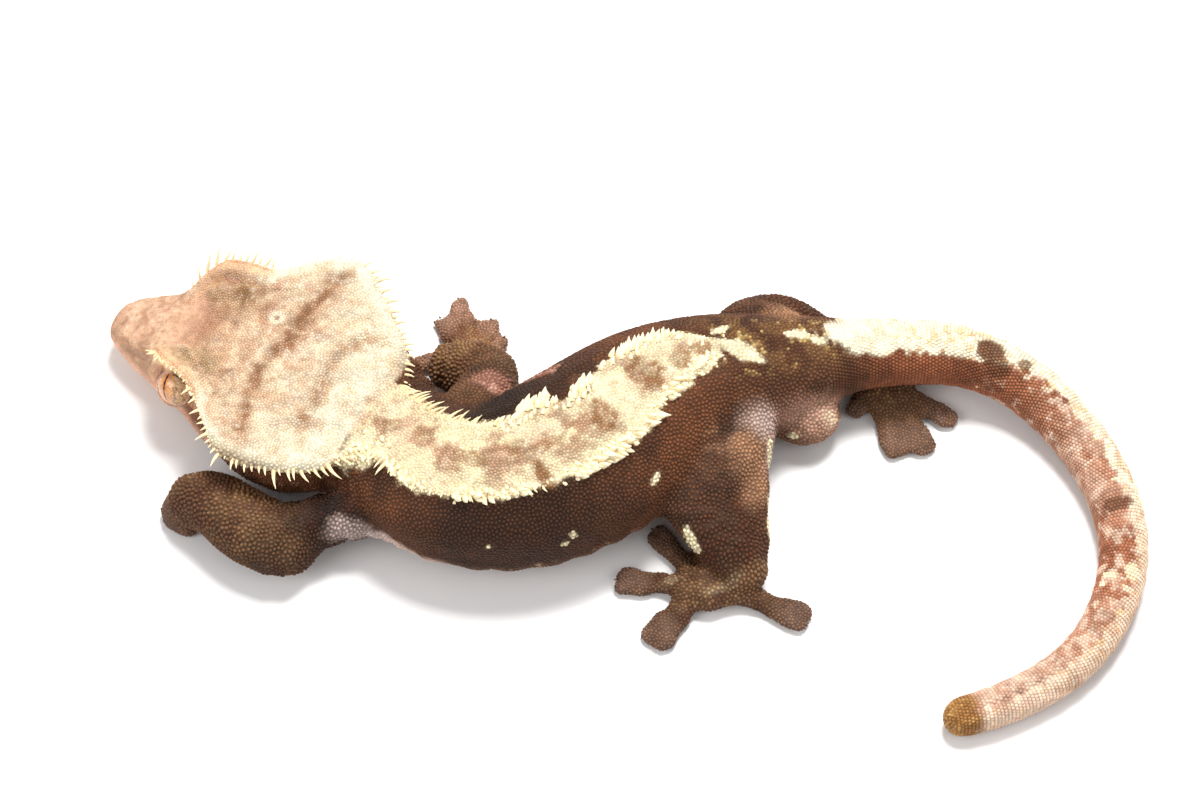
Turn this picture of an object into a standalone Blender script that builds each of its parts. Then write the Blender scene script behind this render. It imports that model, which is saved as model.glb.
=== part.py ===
"""Crested gecko, life size, lying with its head turned and its tail curled.

Lengths in the tables are millimetres. The body is shaped whole: lofts for
the head, the trunk with its tail, the limbs and the toes are fused with a
voxel remesh, the crest spines are joined on, the floor side is planed to
small flats, and thin cuts part it into the lengths that a person would name.
"""

import math

import bmesh
import bpy
import numpy as np
from mathutils import Matrix, Vector
from mathutils.bvhtree import BVHTree

MM = 0.001
NAME = "crested_gecko"

# ---------------------------------------------------------------- sizes (mm)
SHIFT = (-2.869, 11.908, 0.0)        # moves the origin under the middle of the whole body
GAP = 0.3                          # width of the cuts between nodes
FUSE = 0.62                        # voxel of the fused body
BODY_TRIANGLES = 3690              # facets of the whole skin before it is parted

SNOUT = (-67.8, 15.9, 5.1)         # tip of the snout
HEAD_YAW, HEAD_PITCH, HEAD_ROLL = 24.5, 2.0, -3.0
EYE_AT = (15.2, 7.9, 3.6)          # back from the snout, out from the midline, up
EYE_RADIUS = 3.3
ORBIT_AT = (15.2, 6.9, 4.0)
ORBIT_SIZE = (4.9, 3.6, 4.5)

# Head profiles, as (distance back from the snout tip, value).
HEAD_TOP = ((0, 0.3), (0.5, 1.3), (1.5, 2.1), (3.5, 3.1), (7, 4.3), (11, 6.0), (15, 7.4), (19.5, 8.0),
            (23.5, 8.1), (27.5, 8.1), (32, 7.9), (37, 7.3), (41, 6.7), (44, 6.3), (48, 6.0))
CREST_HEIGHT = ((0, 0.2), (0.5, 1.0), (1.5, 1.7), (3.5, 2.6), (7, 4.0), (9.6, 5.6), (11.5, 8.4), (14, 9.2), (17, 9.1), (19.5, 8.7),
                (23.5, 8.6), (27.5, 8.5), (32, 8.2), (37, 7.5), (41, 6.8), (44, 6.1), (48, 5.2))
CREST_LEFT = ((0, 0.6), (0.5, 2.0), (1.5, 3.0), (3.5, 4.0), (7, 5.0), (9.6, 5.7), (11.2, 7.2), (14, 8.9), (17, 9.9), (19.5, 11.7),
              (23.5, 15.6), (27, 18.3), (29.5, 18.5), (32, 18.0), (37, 16.3), (41, 13.0), (43.5, 9.5), (48, 7.5))
CREST_RIGHT = ((0, 0.6), (0.5, 2.0), (1.5, 3.0), (3.5, 4.0), (7, 5.0), (9.6, 5.8), (11.2, 8.3), (14, 11.1), (17, 11.8), (19.5, 12.1),
               (23.5, 14.9), (27, 17.4), (29.5, 18.0), (32, 17.5), (34.5, 15.5), (37.5, 12.9), (41, 9.7), (43.5, 6.8), (46, 5.0), (48, 4.6))
CHEEK = ((0, 0.7), (0.5, 2.1), (1.5, 3.2), (3.5, 4.5), (7, 5.9), (11, 7.3), (15, 8.8), (19.5, 11.2), (23.5, 13.1),
         (27.5, 14.4), (32, 14.7), (37, 12.8), (41, 10.6), (44, 8.4), (48, 5.6))
CHEEK_HEIGHT = ((0, -0.4), (1.5, -0.8), (7, -1.2), (15, -1.6), (25, -1.9), (34, -1.4), (48, 0.0))
TEMPLE = ((0, 0.6), (0.5, 2.0), (1.5, 3.0), (3.5, 4.2), (7, 5.2), (11, 6.4), (15, 7.6), (19.5, 10.4), (23.5, 12.5),
          (27.5, 13.9), (32, 13.9), (37, 12.2), (41, 10.0), (44, 8.0), (48, 5.4))
CHIN = ((0, -0.7), (0.5, -1.5), (1.5, -2.1), (3.5, -2.9), (7, -3.8), (11, -4.5), (15, -5.0), (19.5, -5.4),
        (23.5, -5.7), (28, -6.1), (34, -6.4), (48, -7.6))

# Spine stations: name, x, y, z, half width left, half width right, up, down, lean of the back to the left.
SPINE = (
    ("nape", -38.5, 2.4, 7.8, 8.4, 8.4, 5.2, 7.0, 0.0),
    ("neck", -33.0, -1.0, 8.0, 9.0, 8.6, 5.8, 8.2, 0.4),
    ("throat", -27.6, -5.4, 8.4, 10.2, 9.0, 6.8, 8.7, 1.2),
    ("shoulders", -22.2, -9.7, 8.9, 11.8, 10.2, 8.0, 9.2, 1.5),
    ("chest", -16.0, -12.0, 9.4, 12.0, 11.8, 9.0, 9.7, 1.3),
    ("ribs", -9.6, -11.6, 9.8, 12.4, 12.4, 9.7, 10.1, 0.6),
    ("belly", -3.0, -8.7, 10.0, 12.6, 12.7, 10.1, 10.3, 0.2),
    ("flank", 4.0, -4.9, 10.0, 11.6, 12.6, 10.1, 10.3, -1.4),
    ("waist", 11.0, -0.9, 10.0, 9.4, 11.4, 9.7, 10.2, -2.1),
    ("hips", 18.0, 2.9, 9.8, 8.6, 9.6, 8.7, 9.7, -0.8),
    ("sacrum", 25.0, 5.5, 9.4, 7.2, 7.4, 6.9, 8.0, 0.0),
    ("vent", 31.0, 7.1, 9.1, 5.7, 5.7, 5.5, 5.6, 0.0),
    ("root", 36.0, 8.0, 8.9, 4.8, 4.8, 4.8, 4.5, 0.0),
    ("tail_1", 41.5, 8.5, 8.6, 4.5, 4.5, 4.5, 4.2, 0.0),
    ("tail_2", 47.5, 8.7, 7.9, 4.25, 4.25, 4.3, 4.1, 0.0),
    ("tail_3", 53.9, 7.6, 6.4, 3.95, 3.95, 4.0, 3.9, 0.0),
    ("tail_4", 60.0, 4.1, 5.0, 3.75, 3.75, 3.8, 3.8, 0.0),
    ("tail_5", 65.1, -1.7, 4.1, 3.6, 3.6, 3.6, 3.7, 0.0),
    ("tail_6", 69.0, -9.2, 3.6, 3.45, 3.45, 3.5, 3.7, 0.0),
    ("tail_7", 70.6, -18.7, 3.4, 3.3, 3.3, 3.3, 3.6, 0.0),
    ("tail_8", 68.4, -28.0, 3.3, 3.15, 3.0, 3.1, 3.5, 0.0),
    ("tail_9", 62.9, -36.1, 3.2, 3.0, 2.6, 3.0, 3.4, 0.0),
    ("tail_10", 55.6, -41.0, 3.0, 2.95, 2.45, 2.8, 3.2, 0.0),
    ("tail_11", 49.6, -43.4, 2.9, 2.85, 2.3, 2.7, 3.1, 0.0),
    ("tail_end", 47.2, -44.0, 2.8, 2.7, 2.2, 2.5, 3.0, 0.0),
)
BAND = ((0, 5.4), (12, 5.4), (20, 5.7), (28, 6.4), (36, 7.0), (44, 6.9), (51, 6.4), (58, 5.0), (66, 3.8), (76, 3.0))  # dorsal band half width
RIDGE = ((0, 0.2), (6, 0.9), (40, 0.8), (52, 0.5), (62, 0.2), (74, 0.0))                       # dorsal crest height

# Limb paths: x, y, z, half width across, half width up.
UPPER_ARM_L = ((-20.5, -11.0, 8.0, 5.0, 5.6), (-26.5, -14.0, 7.4, 4.6, 5.0), (-32.0, -15.3, 6.8, 3.7, 4.0),
               (-36.7, -16.4, 6.2, 3.4, 3.7), (-40.5, -18.0, 5.7, 4.1, 4.4), (-43.6, -19.3, 5.3, 4.7, 4.7))
FOREARM_L = ((-42.5, -19.2, 5.3, 4.7, 4.7), (-46.0, -17.8, 5.5, 4.9, 4.8), (-49.4, -15.5, 5.6, 4.6, 4.8),
             (-52.4, -13.4, 5.4, 4.1, 4.6), (-54.6, -12.6, 4.9, 3.6, 4.2))
UPPER_ARM_R = ((-19.5, -5.5, 8.5, 5.0, 5.4), (-17.0, 0.0, 7.4, 4.4, 4.6), (-15.2, 4.0, 6.2, 4.1, 4.0),
               (-15.0, 6.6, 5.2, 3.8, 3.8))
FOREARM_R = ((-15.2, 6.8, 5.0, 3.9, 3.8), (-17.8, 8.0, 4.6, 4.1, 3.7), (-20.4, 8.8, 3.9, 3.9, 3.2))
THIGH_L = ((20.0, 2.5, 9.2, 5.6, 6.0), (17.8, -3.5, 9.0, 6.2, 5.4), (15.0, -9.5, 8.4, 6.0, 4.9), (13.0, -14.4, 7.4, 5.0, 4.3))
SHANK_L = ((13.0, -13.6, 7.4, 4.8, 4.2), (15.6, -17.0, 6.4, 5.0, 4.0), (17.8, -20.0, 5.2, 4.5, 3.6), (19.3, -22.6, 3.8, 3.6, 3.0))
WEB_L = ((21.0, -2.5, 7.6, 2.4, 3.4), (20.0, -8.5, 7.2, 3.0, 3.4), (19.7, -14.5, 6.2, 3.0, 3.1), (20.3, -20.0, 4.6, 2.5, 2.6))
THIGH_R = ((27.5, 5.5, 8.6, 5.0, 5.4), (24.4, 9.8, 8.9, 4.8, 4.8), (20.8, 12.4, 8.0, 4.4, 4.4))
SHANK_R = ((20.0, 12.4, 7.6, 4.3, 4.2), (25.2, 14.3, 6.2, 4.2, 4.0), (30.8, 13.8, 3.8, 2.8, 2.6), (35.2, 11.6, 2.5, 2.4, 2.0))
BULGES = ((28.0, 0.9, 4.6, 5.2, 4.4, 4.2), (26.5, 10.4, 4.6, 5.0, 3.8, 4.0))   # behind the vent: place, size

# Feet: palm (x, y, z, half length, half width, half height), then toes (base, tip, base and pad half width).
FEET = {
    "hand_l": ((-55.6, -12.7, 3.9, 3.2, 3.5, 3.2), (
        ((-56.2, -10.2, 3.2), (-57.4, -9.4, 1.3), 1.0, 1.2, (-54.8, -9.2, 0.75)),
        ((-57.0, -11.2, 3.2), (-58.6, -10.8, 1.5), 1.0, 1.3, (-56.2, -10.7, 0.7)),
        ((-57.4, -12.4, 3.2), (-59.2, -12.4, 1.5), 1.0, 1.35, (-56.8, -12.5, 0.7)),
        ((-57.2, -13.6, 3.0), (-58.8, -14.0, 1.4), 1.0, 1.3, (-56.4, -14.1, 0.7)),
        ((-56.2, -14.4, 2.8), (-57.0, -15.2, 1.3), 0.9, 1.1, (-54.6, -14.9, 0.7)),
    )),
    "hand_r": ((-18.2, 10.6, 2.3, 4.0, 3.5, 2.2), (
        ((-20.0, 11.6, 1.6), (-26.4, 11.2, 0.8), 1.1, 1.45, None),
        ((-19.4, 12.8, 1.6), (-22.8, 18.8, 0.8), 1.1, 1.5, None),
        ((-17.8, 13.2, 1.6), (-20.2, 22.0, 0.8), 1.1, 1.55, None),
        ((-16.6, 12.6, 1.6), (-15.3, 18.6, 0.8), 1.1, 1.5, None),
        ((-15.8, 11.4, 1.6), (-13.2, 15.6, 0.8), 1.0, 1.15, None),
    )),
    "foot_l": ((14.6, -24.3, 2.2, 5.0, 3.7, 2.1), (
        ((12.6, -21.8, 1.6), (6.8, -14.9, 0.75), 1.4, 1.95, None),
        ((10.6, -23.6, 1.5), (1.7, -22.9, 0.8), 1.5, 2.3, None),
        ((12.0, -26.0, 1.5), (6.4, -32.8, 0.8), 1.9, 2.65, None),
        ((15.2, -21.6, 1.6), (13.0, -14.8, 0.8), 1.2, 1.6, None),
        ((20.0, -25.6, 1.6), (28.4, -29.0, 0.8), 1.6, 2.5, None),
    )),
    "foot_r": ((39.2, 7.4, 1.5, 4.2, 3.3, 1.4), (
        ((38.4, 4.8, 1.5), (41.4, -4.1, 0.8), 1.4, 2.15, None),
        ((41.2, 5.2, 1.5), (45.4, -3.6, 0.8), 1.4, 2.05, None),
        ((42.0, 6.6, 1.5), (49.6, 1.3, 0.8), 1.25, 1.8, None),
        ((41.4, 8.8, 1.5), (49.4, 9.6, 0.8), 1.2, 1.7, None),
        ((36.6, 6.0, 1.5), (34.8, 2.4, 0.8), 1.2, 1.5, None),
    )),
}
LEAST_PIECE = 1.0                  # mm3: smaller chips of the cuts are dropped
TAIL_CUTS = (104.6, 128.0, 149.0)         # distances along the spine
TOE_THICK = 0.95                   # half thickness of a toe at its pad

# Crest spines on the head and neck: count, and length along the crest from the brow to the shoulder.
SPINE_LENGTH_LEFT = ((0.0, 1.1), (0.2, 1.6), (0.4, 2.2), (0.55, 2.9), (0.66, 1.7), (1.0, 1.5))
SPINE_LENGTH_RIGHT = ((0.0, 0.8), (0.2, 1.3), (0.35, 1.9), (0.5, 2.2), (0.7, 3.2), (0.85, 3.6), (1.0, 2.4))
SPINES_A_SIDE = 27

# Colours, as linear red, green, blue.
TAN, BROWN, RUSSET, OLIVE, AMBER = (0.56, 0.40, 0.26), (0.16, 0.085, 0.05), (0.36, 0.20, 0.13), (0.15, 0.10, 0.06), (0.50, 0.27, 0.09)
COLOUR = {"head": TAN, "neck": TAN, "trunk": BROWN, "hips": BROWN, "tail": RUSSET, "upper": OLIVE, "forearm": OLIVE,
          "hand": OLIVE, "thigh": OLIVE, "shank": OLIVE, "foot": OLIVE, "eye": AMBER}


# ------------------------------------------------------------------- curves
def pchip(table):
    """A smooth curve through the table's values that never overshoots them."""
    table = np.asarray(table, float)
    x, y = table[:, 0], table[:, 1:]
    h = np.diff(x)[:, None]
    slope = np.diff(y, axis=0) / h
    m = np.zeros_like(y)
    a, b = slope[:-1], slope[1:]
    w1, w2 = 2 * h[1:] + h[:-1], h[1:] + 2 * h[:-1]
    same = a * b > 0
    m[1:-1] = np.where(same, (w1 + w2) / (w1 / np.where(same, a, 1) + w2 / np.where(same, b, 1)), 0)
    m[0], m[-1] = slope[0], slope[-1]

    def value(t):
        t = np.clip(np.asarray(t, float), x[0], x[-1])
        i = np.clip(np.searchsorted(x, t, side="right") - 1, 0, len(x) - 2)
        hh = (x[i + 1] - x[i])[..., None]
        u = (t - x[i])[..., None] / hh
        out = ((1 + 2 * u) * (1 - u) ** 2 * y[i] + u * (1 - u) ** 2 * hh * m[i]
               + u * u * (3 - 2 * u) * y[i + 1] + u * u * (u - 1) * hh * m[i + 1])
        return out[..., 0] if out.shape[-1] == 1 else out
    return value


def natural(points):
    """A natural cubic through points by chord length; returns (curve, length)."""
    p = np.asarray(points, float)
    d = np.linalg.norm(np.diff(p[:, :3], axis=0), axis=1)
    x = np.concatenate([[0], np.cumsum(d)])
    n = len(x)
    A, r = np.eye(n), np.zeros((n, p.shape[1]))
    for i in range(1, n - 1):
        A[i, i - 1], A[i, i], A[i, i + 1] = d[i - 1], 2 * (d[i - 1] + d[i]), d[i]
        r[i] = 6 * ((p[i + 1] - p[i]) / d[i] - (p[i] - p[i - 1]) / d[i - 1])
    k = np.linalg.solve(A, r)

    def value(t):
        t = np.clip(np.asarray(t, float), 0, x[-1])
        i = np.clip(np.searchsorted(x, t, side="right") - 1, 0, n - 2)
        h, a, b = d[i][..., None], (x[i + 1] - t)[..., None], (t - x[i])[..., None]
        return (k[i] * a ** 3 + k[i + 1] * b ** 3) / (6 * h) + (p[i] / h - k[i] * h / 6) * a + (p[i + 1] / h - k[i + 1] * h / 6) * b
    return value, x[-1]


# -------------------------------------------------------------------- frames
def head_frame():
    yaw, pitch, roll = (math.radians(v) for v in (HEAD_YAW, HEAD_PITCH, HEAD_ROLL))
    f = np.array([-math.cos(yaw) * math.cos(pitch), math.sin(yaw) * math.cos(pitch), -math.sin(pitch)])
    side = np.array([-math.sin(yaw), -math.cos(yaw), 0.0])
    up = np.cross(f, side)
    left = side * math.cos(roll) - up * math.sin(roll)
    return np.array(SNOUT), f, left, np.cross(f, left)


def head_point(back, out, up):
    """From the head's own measures (back, out to the left, up) to the body's frame."""
    tip, f, left, high = head_frame()
    back, out, up = (np.asarray(v, float)[..., None] for v in (back, out, up))
    return tip - f * back + left * out + high * up


SPINE_CURVE, SPINE_LENGTH = natural([row[1:] for row in SPINE])


def spine_frame(s):
    """Centre, tailward tangent, left and up at a distance along the spine, with its widths."""
    row = SPINE_CURVE(s)
    step = SPINE_CURVE(np.asarray(s) + 0.3) - SPINE_CURVE(np.asarray(s) - 0.3)
    t = step[..., :3] / np.linalg.norm(step[..., :3], axis=-1, keepdims=True)
    left = np.stack([t[..., 1], -t[..., 0], np.zeros(t.shape[:-1])], -1)
    left /= np.linalg.norm(left, axis=-1, keepdims=True)
    return row[..., :3], t, left, np.cross(left, t) * -1, row[..., 3:]


# --------------------------------------------------------------------- lofts
def loft_mesh(name, rings):
    """A closed mesh through rings of equal counts, each a closed loop, with a fan at each end."""
    bm = bmesh.new()
    loops = [[bm.verts.new(p * MM) for p in ring] for ring in rings]
    n = len(loops[0])
    for a, b in zip(loops[:-1], loops[1:]):
        for i in range(n):
            bm.faces.new((a[i], a[(i + 1) % n], b[(i + 1) % n], b[i]))
    for loop, ring, turn in ((loops[0], rings[0], True), (loops[-1], rings[-1], False)):
        mid = bm.verts.new(np.mean(ring, axis=0) * MM)
        for i in range(n):
            pair = (loop[(i + 1) % n], loop[i]) if turn else (loop[i], loop[(i + 1) % n])
            bm.faces.new((*pair, mid))
    bmesh.ops.recalc_face_normals(bm, faces=bm.faces)
    return object_from(name, bm)


def object_from(name, bm):
    mesh = bpy.data.meshes.new(name)
    bm.to_mesh(mesh)
    bm.free()
    return bpy.data.objects.new(name, mesh)


def closed_curve(points, count):
    """A smooth closed loop through the points of a half section and its mirror."""
    p = np.asarray(points, float)
    n = len(p)
    per = count // n
    u = np.arange(per) / per
    out = []
    for i in range(n):
        p0, p1, p2, p3 = p[i - 1], p[i], p[(i + 1) % n], p[(i + 2) % n]
        d0, d1, d2 = (max(np.linalg.norm(q), 1e-6) ** 0.5 for q in (p1 - p0, p2 - p1, p3 - p2))
        m1 = (p2 - p1) + d1 * ((p1 - p0) / d0 - (p2 - p0) / (d0 + d1))
        m2 = (p2 - p1) + d1 * ((p3 - p2) / d2 - (p3 - p1) / (d1 + d2))
        w = u[:, None]
        out.append((2 * w ** 3 - 3 * w ** 2 + 1) * p1 + (w ** 3 - 2 * w ** 2 + w) * m1
                   + (3 * w ** 2 - 2 * w ** 3) * p2 + (w ** 3 - w ** 2) * m2)
    return np.concatenate(out)


HEAD = {key: pchip(table) for key, table in dict(
    top=HEAD_TOP, crest=CREST_HEIGHT, left=CREST_LEFT, right=CREST_RIGHT, cheek=CHEEK,
    cheek_h=CHEEK_HEIGHT, temple=TEMPLE, chin=CHIN).items()}


def head_section(b, count=96):
    """Outline across the head at a distance back from the snout, as (out, up)."""
    v = {key: float(curve(b)) for key, curve in HEAD.items()}
    thick = np.interp(b, (0, 8, 20, 30, 48), (0.5, 1.0, 1.1, 1.1, 1.4))
    halves = []
    for edge in (v["left"], v["right"]):
        ch, cr = v["cheek_h"], v["crest"]
        halves.append([
            (edge * 0.52, v["top"] - 0.02 * edge),
            (edge - thick * 0.9, cr + 0.12),
            (edge, cr - thick * 0.5),
            (edge - thick * 0.9, cr - thick * 1.25),
            (v["temple"], cr - (cr - ch) * 0.45),
            (v["cheek"], ch),
            (v["cheek"] * 0.93, ch + (v["chin"] - ch) * 0.52),
            (v["cheek"] * 0.55, v["chin"] + (ch - v["chin"]) * 0.04),
        ])
    loop = [(0.0, v["top"])] + halves[0] + [(0.0, v["chin"])] + [(-w, h) for w, h in halves[1][::-1]]
    return closed_curve(loop, count - count % len(loop))


def head_rings():
    stations = np.concatenate([np.linspace(0, 1, 6)[:-1] ** 1.5, np.arange(1, 48.1, 1.0)])
    rings = []
    for b in stations:
        section = head_section(b)
        rings.append(head_point(np.full(len(section), b), section[:, 0], section[:, 1]))
    return rings


BAND_AT, RIDGE_AT = pchip(BAND), pchip(RIDGE)


def body_section(widths, band, ridge, count=80):
    wl, wr, up, down, lean = widths
    a = np.arange(count) / count * 2 * math.pi
    c, s = np.cos(a), np.sin(a)
    out = np.where(c > 0, wl, wr) * np.sign(c) * np.abs(c) ** (2 / 2.15)
    high = np.where(s > 0, up * np.abs(s) ** (2 / 2.1), -down * np.abs(s) ** (2 / 2.5))
    crest = ridge * (np.exp(-((out - band) / 0.9) ** 2) + np.exp(-((out + band) / 0.9) ** 2))
    high = high + np.where(s > 0.2, crest, 0)
    out = out + lean * np.clip(high / max(up, 1), 0, 1)
    return out, high


def body_rings(step=1.2):
    rings = []
    ends = 0.0
    for s in np.concatenate([np.arange(0, SPINE_LENGTH, step), [SPINE_LENGTH]]):
        centre, t, left, up, widths = spine_frame(s)
        out, high = body_section(widths, float(BAND_AT(s)), float(RIDGE_AT(s)))
        rings.append(centre + left * out[:, None] + np.array([0, 0, 1.0]) * high[:, None])
    # The tail ends in a blunt round tip.
    centre, t, left, up, widths = spine_frame(SPINE_LENGTH)
    for k in np.radians((25, 50, 70, 84)):
        shrink, ahead = math.cos(k), 2.3 * math.sin(k)
        out, high = body_section(widths, 3.0, 0.0)
        rings.append(centre + t * ahead + left * out[:, None] * shrink + np.array([0, 0, 1.0]) * high[:, None] * shrink)
    return rings


def limb_rings(rows, count=28, step=1.0):
    """A limb swept along its path, with rounded ends."""
    curve, length = natural(rows)
    rings = []
    stations = [(0.0, k) for k in (-80, -60, -35)] + [(s, 0.0) for s in np.arange(0, length + 1e-6, step)] + [(length, k) for k in (35, 60, 80)]
    a = np.arange(count) / count * 2 * math.pi
    for s, k in stations:
        row = curve(s)
        t = (curve(s + 0.2) - curve(s - 0.2))[:3]
        t /= np.linalg.norm(t)
        side = np.cross(t, (0, 0, 1.0))
        side /= np.linalg.norm(side)
        up = np.cross(side, t)
        k = math.radians(k)
        shrink, ahead = math.cos(k), math.sin(k) * min(row[3], row[4])
        rings.append(row[:3] + t * ahead + (side * np.cos(a)[:, None] * row[3] + up * np.sin(a)[:, None] * row[4]) * shrink)
    return rings


def toe_rings(base, tip, narrow, pad, curl=None, count=20):
    """A flat toe from the palm to a wide, blunt pad; a curled one turns under by way of its third point."""
    path = [np.array(base), np.array(tip)] if curl is None else [np.array(base), np.array(tip), np.array(curl)]
    first = path[0] + (path[0] - path[1]) * 0.35
    if curl is None:
        d = path[1] - path[0]
        path = [first, path[0], path[0] + d * 0.4, path[0] + d * 0.75, path[1]]
        path[2][2] = 1.0
    else:
        path = [first, *path]
    curve, length = natural(path)
    rings = []
    a = np.arange(count) / count * 2 * math.pi
    for u in np.concatenate([np.linspace(0, 0.9, 14), [0.95, 0.985, 1.0]]):
        s = u * length
        p = curve(s)
        t = curve(min(s + 0.15, length)) - curve(max(s - 0.15, 0))
        t /= np.linalg.norm(t)
        side = np.cross(t, (0, 0, 1.0)) if abs(t[2]) < 0.95 else np.array([0.1, 1.0, 0.0])
        side /= np.linalg.norm(side)
        up = np.cross(side, t)
        half = float(pchip(((0, narrow * 1.15), (0.35, narrow), (0.55, narrow * 1.12), (0.8, pad), (0.92, pad * 0.92), (0.97, pad * 0.72), (1, pad * 0.25)))(u))
        thick = float(pchip(((0, 1.5), (0.4, 1.15), (0.75, TOE_THICK), (0.95, 0.75), (1, 0.3)))(u))
        if curl is not None:
            thick = min(thick, 1.0)
        c, sn = np.cos(a), np.sin(a)
        rings.append(p + side * (np.sign(c) * np.abs(c) ** 0.85)[:, None] * half + up * (np.sign(sn) * np.abs(sn) ** 0.9)[:, None] * thick)
    return rings


def ellipsoid(name, centre, sizes, axes=None, segments=24):
    bm = bmesh.new()
    bmesh.ops.create_uvsphere(bm, u_segments=segments, v_segments=segments // 2, radius=1.0)
    turn = np.eye(3) if axes is None else np.array(axes).T
    m = Matrix([[*(turn[i] * np.array(sizes) * MM), centre[i] * MM] for i in range(3)] + [[0, 0, 0, 1]])
    bmesh.ops.transform(bm, matrix=m, verts=bm.verts)
    bmesh.ops.recalc_face_normals(bm, faces=bm.faces)
    return object_from(name, bm)


def cone(bm, foot, way, length, radius, sides=4):
    """A spine: a slender cone sunk a little into the skin."""
    way = np.asarray(way, float) / np.linalg.norm(way)
    made = bmesh.ops.create_cone(bm, cap_ends=True, cap_tris=False, segments=sides, radius1=radius * MM, radius2=0.12 * MM, depth=(length + 0.8) * MM)
    at = np.asarray(foot) + way * (length - 0.8) / 2
    turn = Vector((0, 0, 1)).rotation_difference(Vector(way)).to_matrix().to_4x4()
    bmesh.ops.transform(bm, matrix=Matrix.Translation(Vector(at * MM)) @ turn, verts=made["verts"])


# -------------------------------------------------------------------- crests
def crest_line(side, count):
    """Points along one crest from behind the eye, over the head's corner, to the shoulder, with outward ways."""
    sign, edge = (1, HEAD["left"]) if side == "left" else (-1, HEAD["right"])
    last = 43.0 if side == "left" else 44.0
    b = np.linspace(18.5, last, 60)
    head = head_point(b, sign * edge(b), HEAD["crest"](b) - 0.5)
    s = np.linspace(14.5 if side == "left" else 12.5, 38, 50)
    centre, t, left, up, widths = spine_frame(s)
    band = BAND_AT(s)
    half = np.where(sign > 0, widths[:, 0], widths[:, 1])
    high = widths[:, 2] * (1 - (band / half) ** 2.1) ** (1 / 2.1) + RIDGE_AT(s)
    out = sign * band + widths[:, 4] * high / widths[:, 2]
    neck = centre + left * out[:, None] + np.array([0, 0, 1.0]) * high[:, None]
    line = np.concatenate([head, neck])
    curve, length = natural(np.concatenate([head[::6], neck[::5]]))
    at = np.linspace(0, length, count)
    p = curve(at)
    along = curve(at + 0.3) - curve(at - 0.3)
    along /= np.linalg.norm(along, axis=1, keepdims=True)
    out_way = np.cross(along, (0, 0, 1.0)) * (1 if side == "left" else -1)
    out_way /= np.linalg.norm(out_way, axis=1, keepdims=True)
    return p, along, out_way, at / length


# --------------------------------------------------------------------- making
def slab(bm, a, b, low=-2.0, high=24.0, thick=GAP):
    """A thin upright box from a to b, seen from above: the cut between two nodes."""
    a, b = Vector((*a, 0)), Vector((*b, 0))
    along = (b - a).normalized()
    across = Vector((-along.y, along.x, 0))
    made = bmesh.ops.create_cube(bm, size=1.0)
    mid = (a + b) / 2
    rows = [[along[i] * (b - a).length * MM, across[i] * thick * MM, 0, mid[i] * MM] for i in (0, 1)]
    rows += [[0, 0, (high - low) * MM, (high + low) / 2 * MM], [0, 0, 0, 1]]
    bmesh.ops.transform(bm, matrix=Matrix(rows), verts=made["verts"])


def spine_slab(bm, s, half, low=-2.0, high=24.0):
    """A cut square across the spine."""
    centre, t, left, up, widths = spine_frame(s)
    slab(bm, (centre + left * half)[:2], (centre - left * half)[:2], low, high)


def along_spine(x_after, start=0.0):
    """The distance along the spine where it first passes an x, counting from a start."""
    for s in np.arange(start, SPINE_LENGTH, 0.1):
        if SPINE_CURVE(s)[0] > x_after:
            return float(s)
    return SPINE_LENGTH


# Upright cuts as (from, to, lowest, highest), seen from above.
CUTS = (
    ((-39.2, -14.6), (-26.0, 13.8), 10.6, 24.0),     # head from neck, crest level
    ((-38.3, -12.55), (-26.3, 13.4), -2.0, 10.8),    # head from neck, under the crest
    ((-33.75, -12.05), (-19.6, 1.8), -2.0, 24.0),    # neck from trunk
    ((-33.6, -11.95), (-36.2, -12.25), -2.0, 13.0),  # neck from arm, left
    ((-33.9, -11.9), (-31.8, -20.8), -2.0, 13.0),    # shoulder, left
    ((-43.35, -12.9), (-42.5, -25.0), -2.0, 11.8),   # elbow, left
    ((-52.8, -7.0), (-55.3, -18.5), -2.0, 12.0),     # wrist, left
    ((-19.75, 1.9), (-23.0, 7.0), -2.0, 14.0),       # neck from arm, right
    ((-20.0, 1.85), (-11.1, 1.75), -2.0, 14.0),      # shoulder, right
    ((-11.4, 1.75), (-8.8, 2.7), 5.4, 14.0),         # its armpit
    ((-21.6, 3.7), (-9.0, 8.0), -2.0, 12.0),         # elbow, right
    ((-24.5, 7.0), (-12.5, 11.2), -2.0, 12.0),       # wrist, right
    ((3.5, -20.2), (-10.0, 5.2), -2.0, 24.0),        # front from rear trunk
    ((15.7, -0.6), (10.1, -11.6), -2.0, 24.0),       # rear trunk from hips, left
    ((10.3, -11.2), (7.5, -16.8), 2.6, 24.0),        # rear trunk from knee
    ((15.6, -1.0), (14.6, 17.0), -2.0, 24.0),        # rear trunk from hips, right
    ((13.3, -5.0), (26.0, -10.0), -2.0, 24.0),       # hip, left
    ((8.6, -14.6), (25.0, -16.6), 2.3, 14.0),        # knee, left
    ((24.0, 9.0), (24.0, 21.0), -2.0, 20.0),         # knee, right
    ((33.4, 7.4), (39.4, 14.3), -2.0, 4.6),          # ankle, right
)
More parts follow.
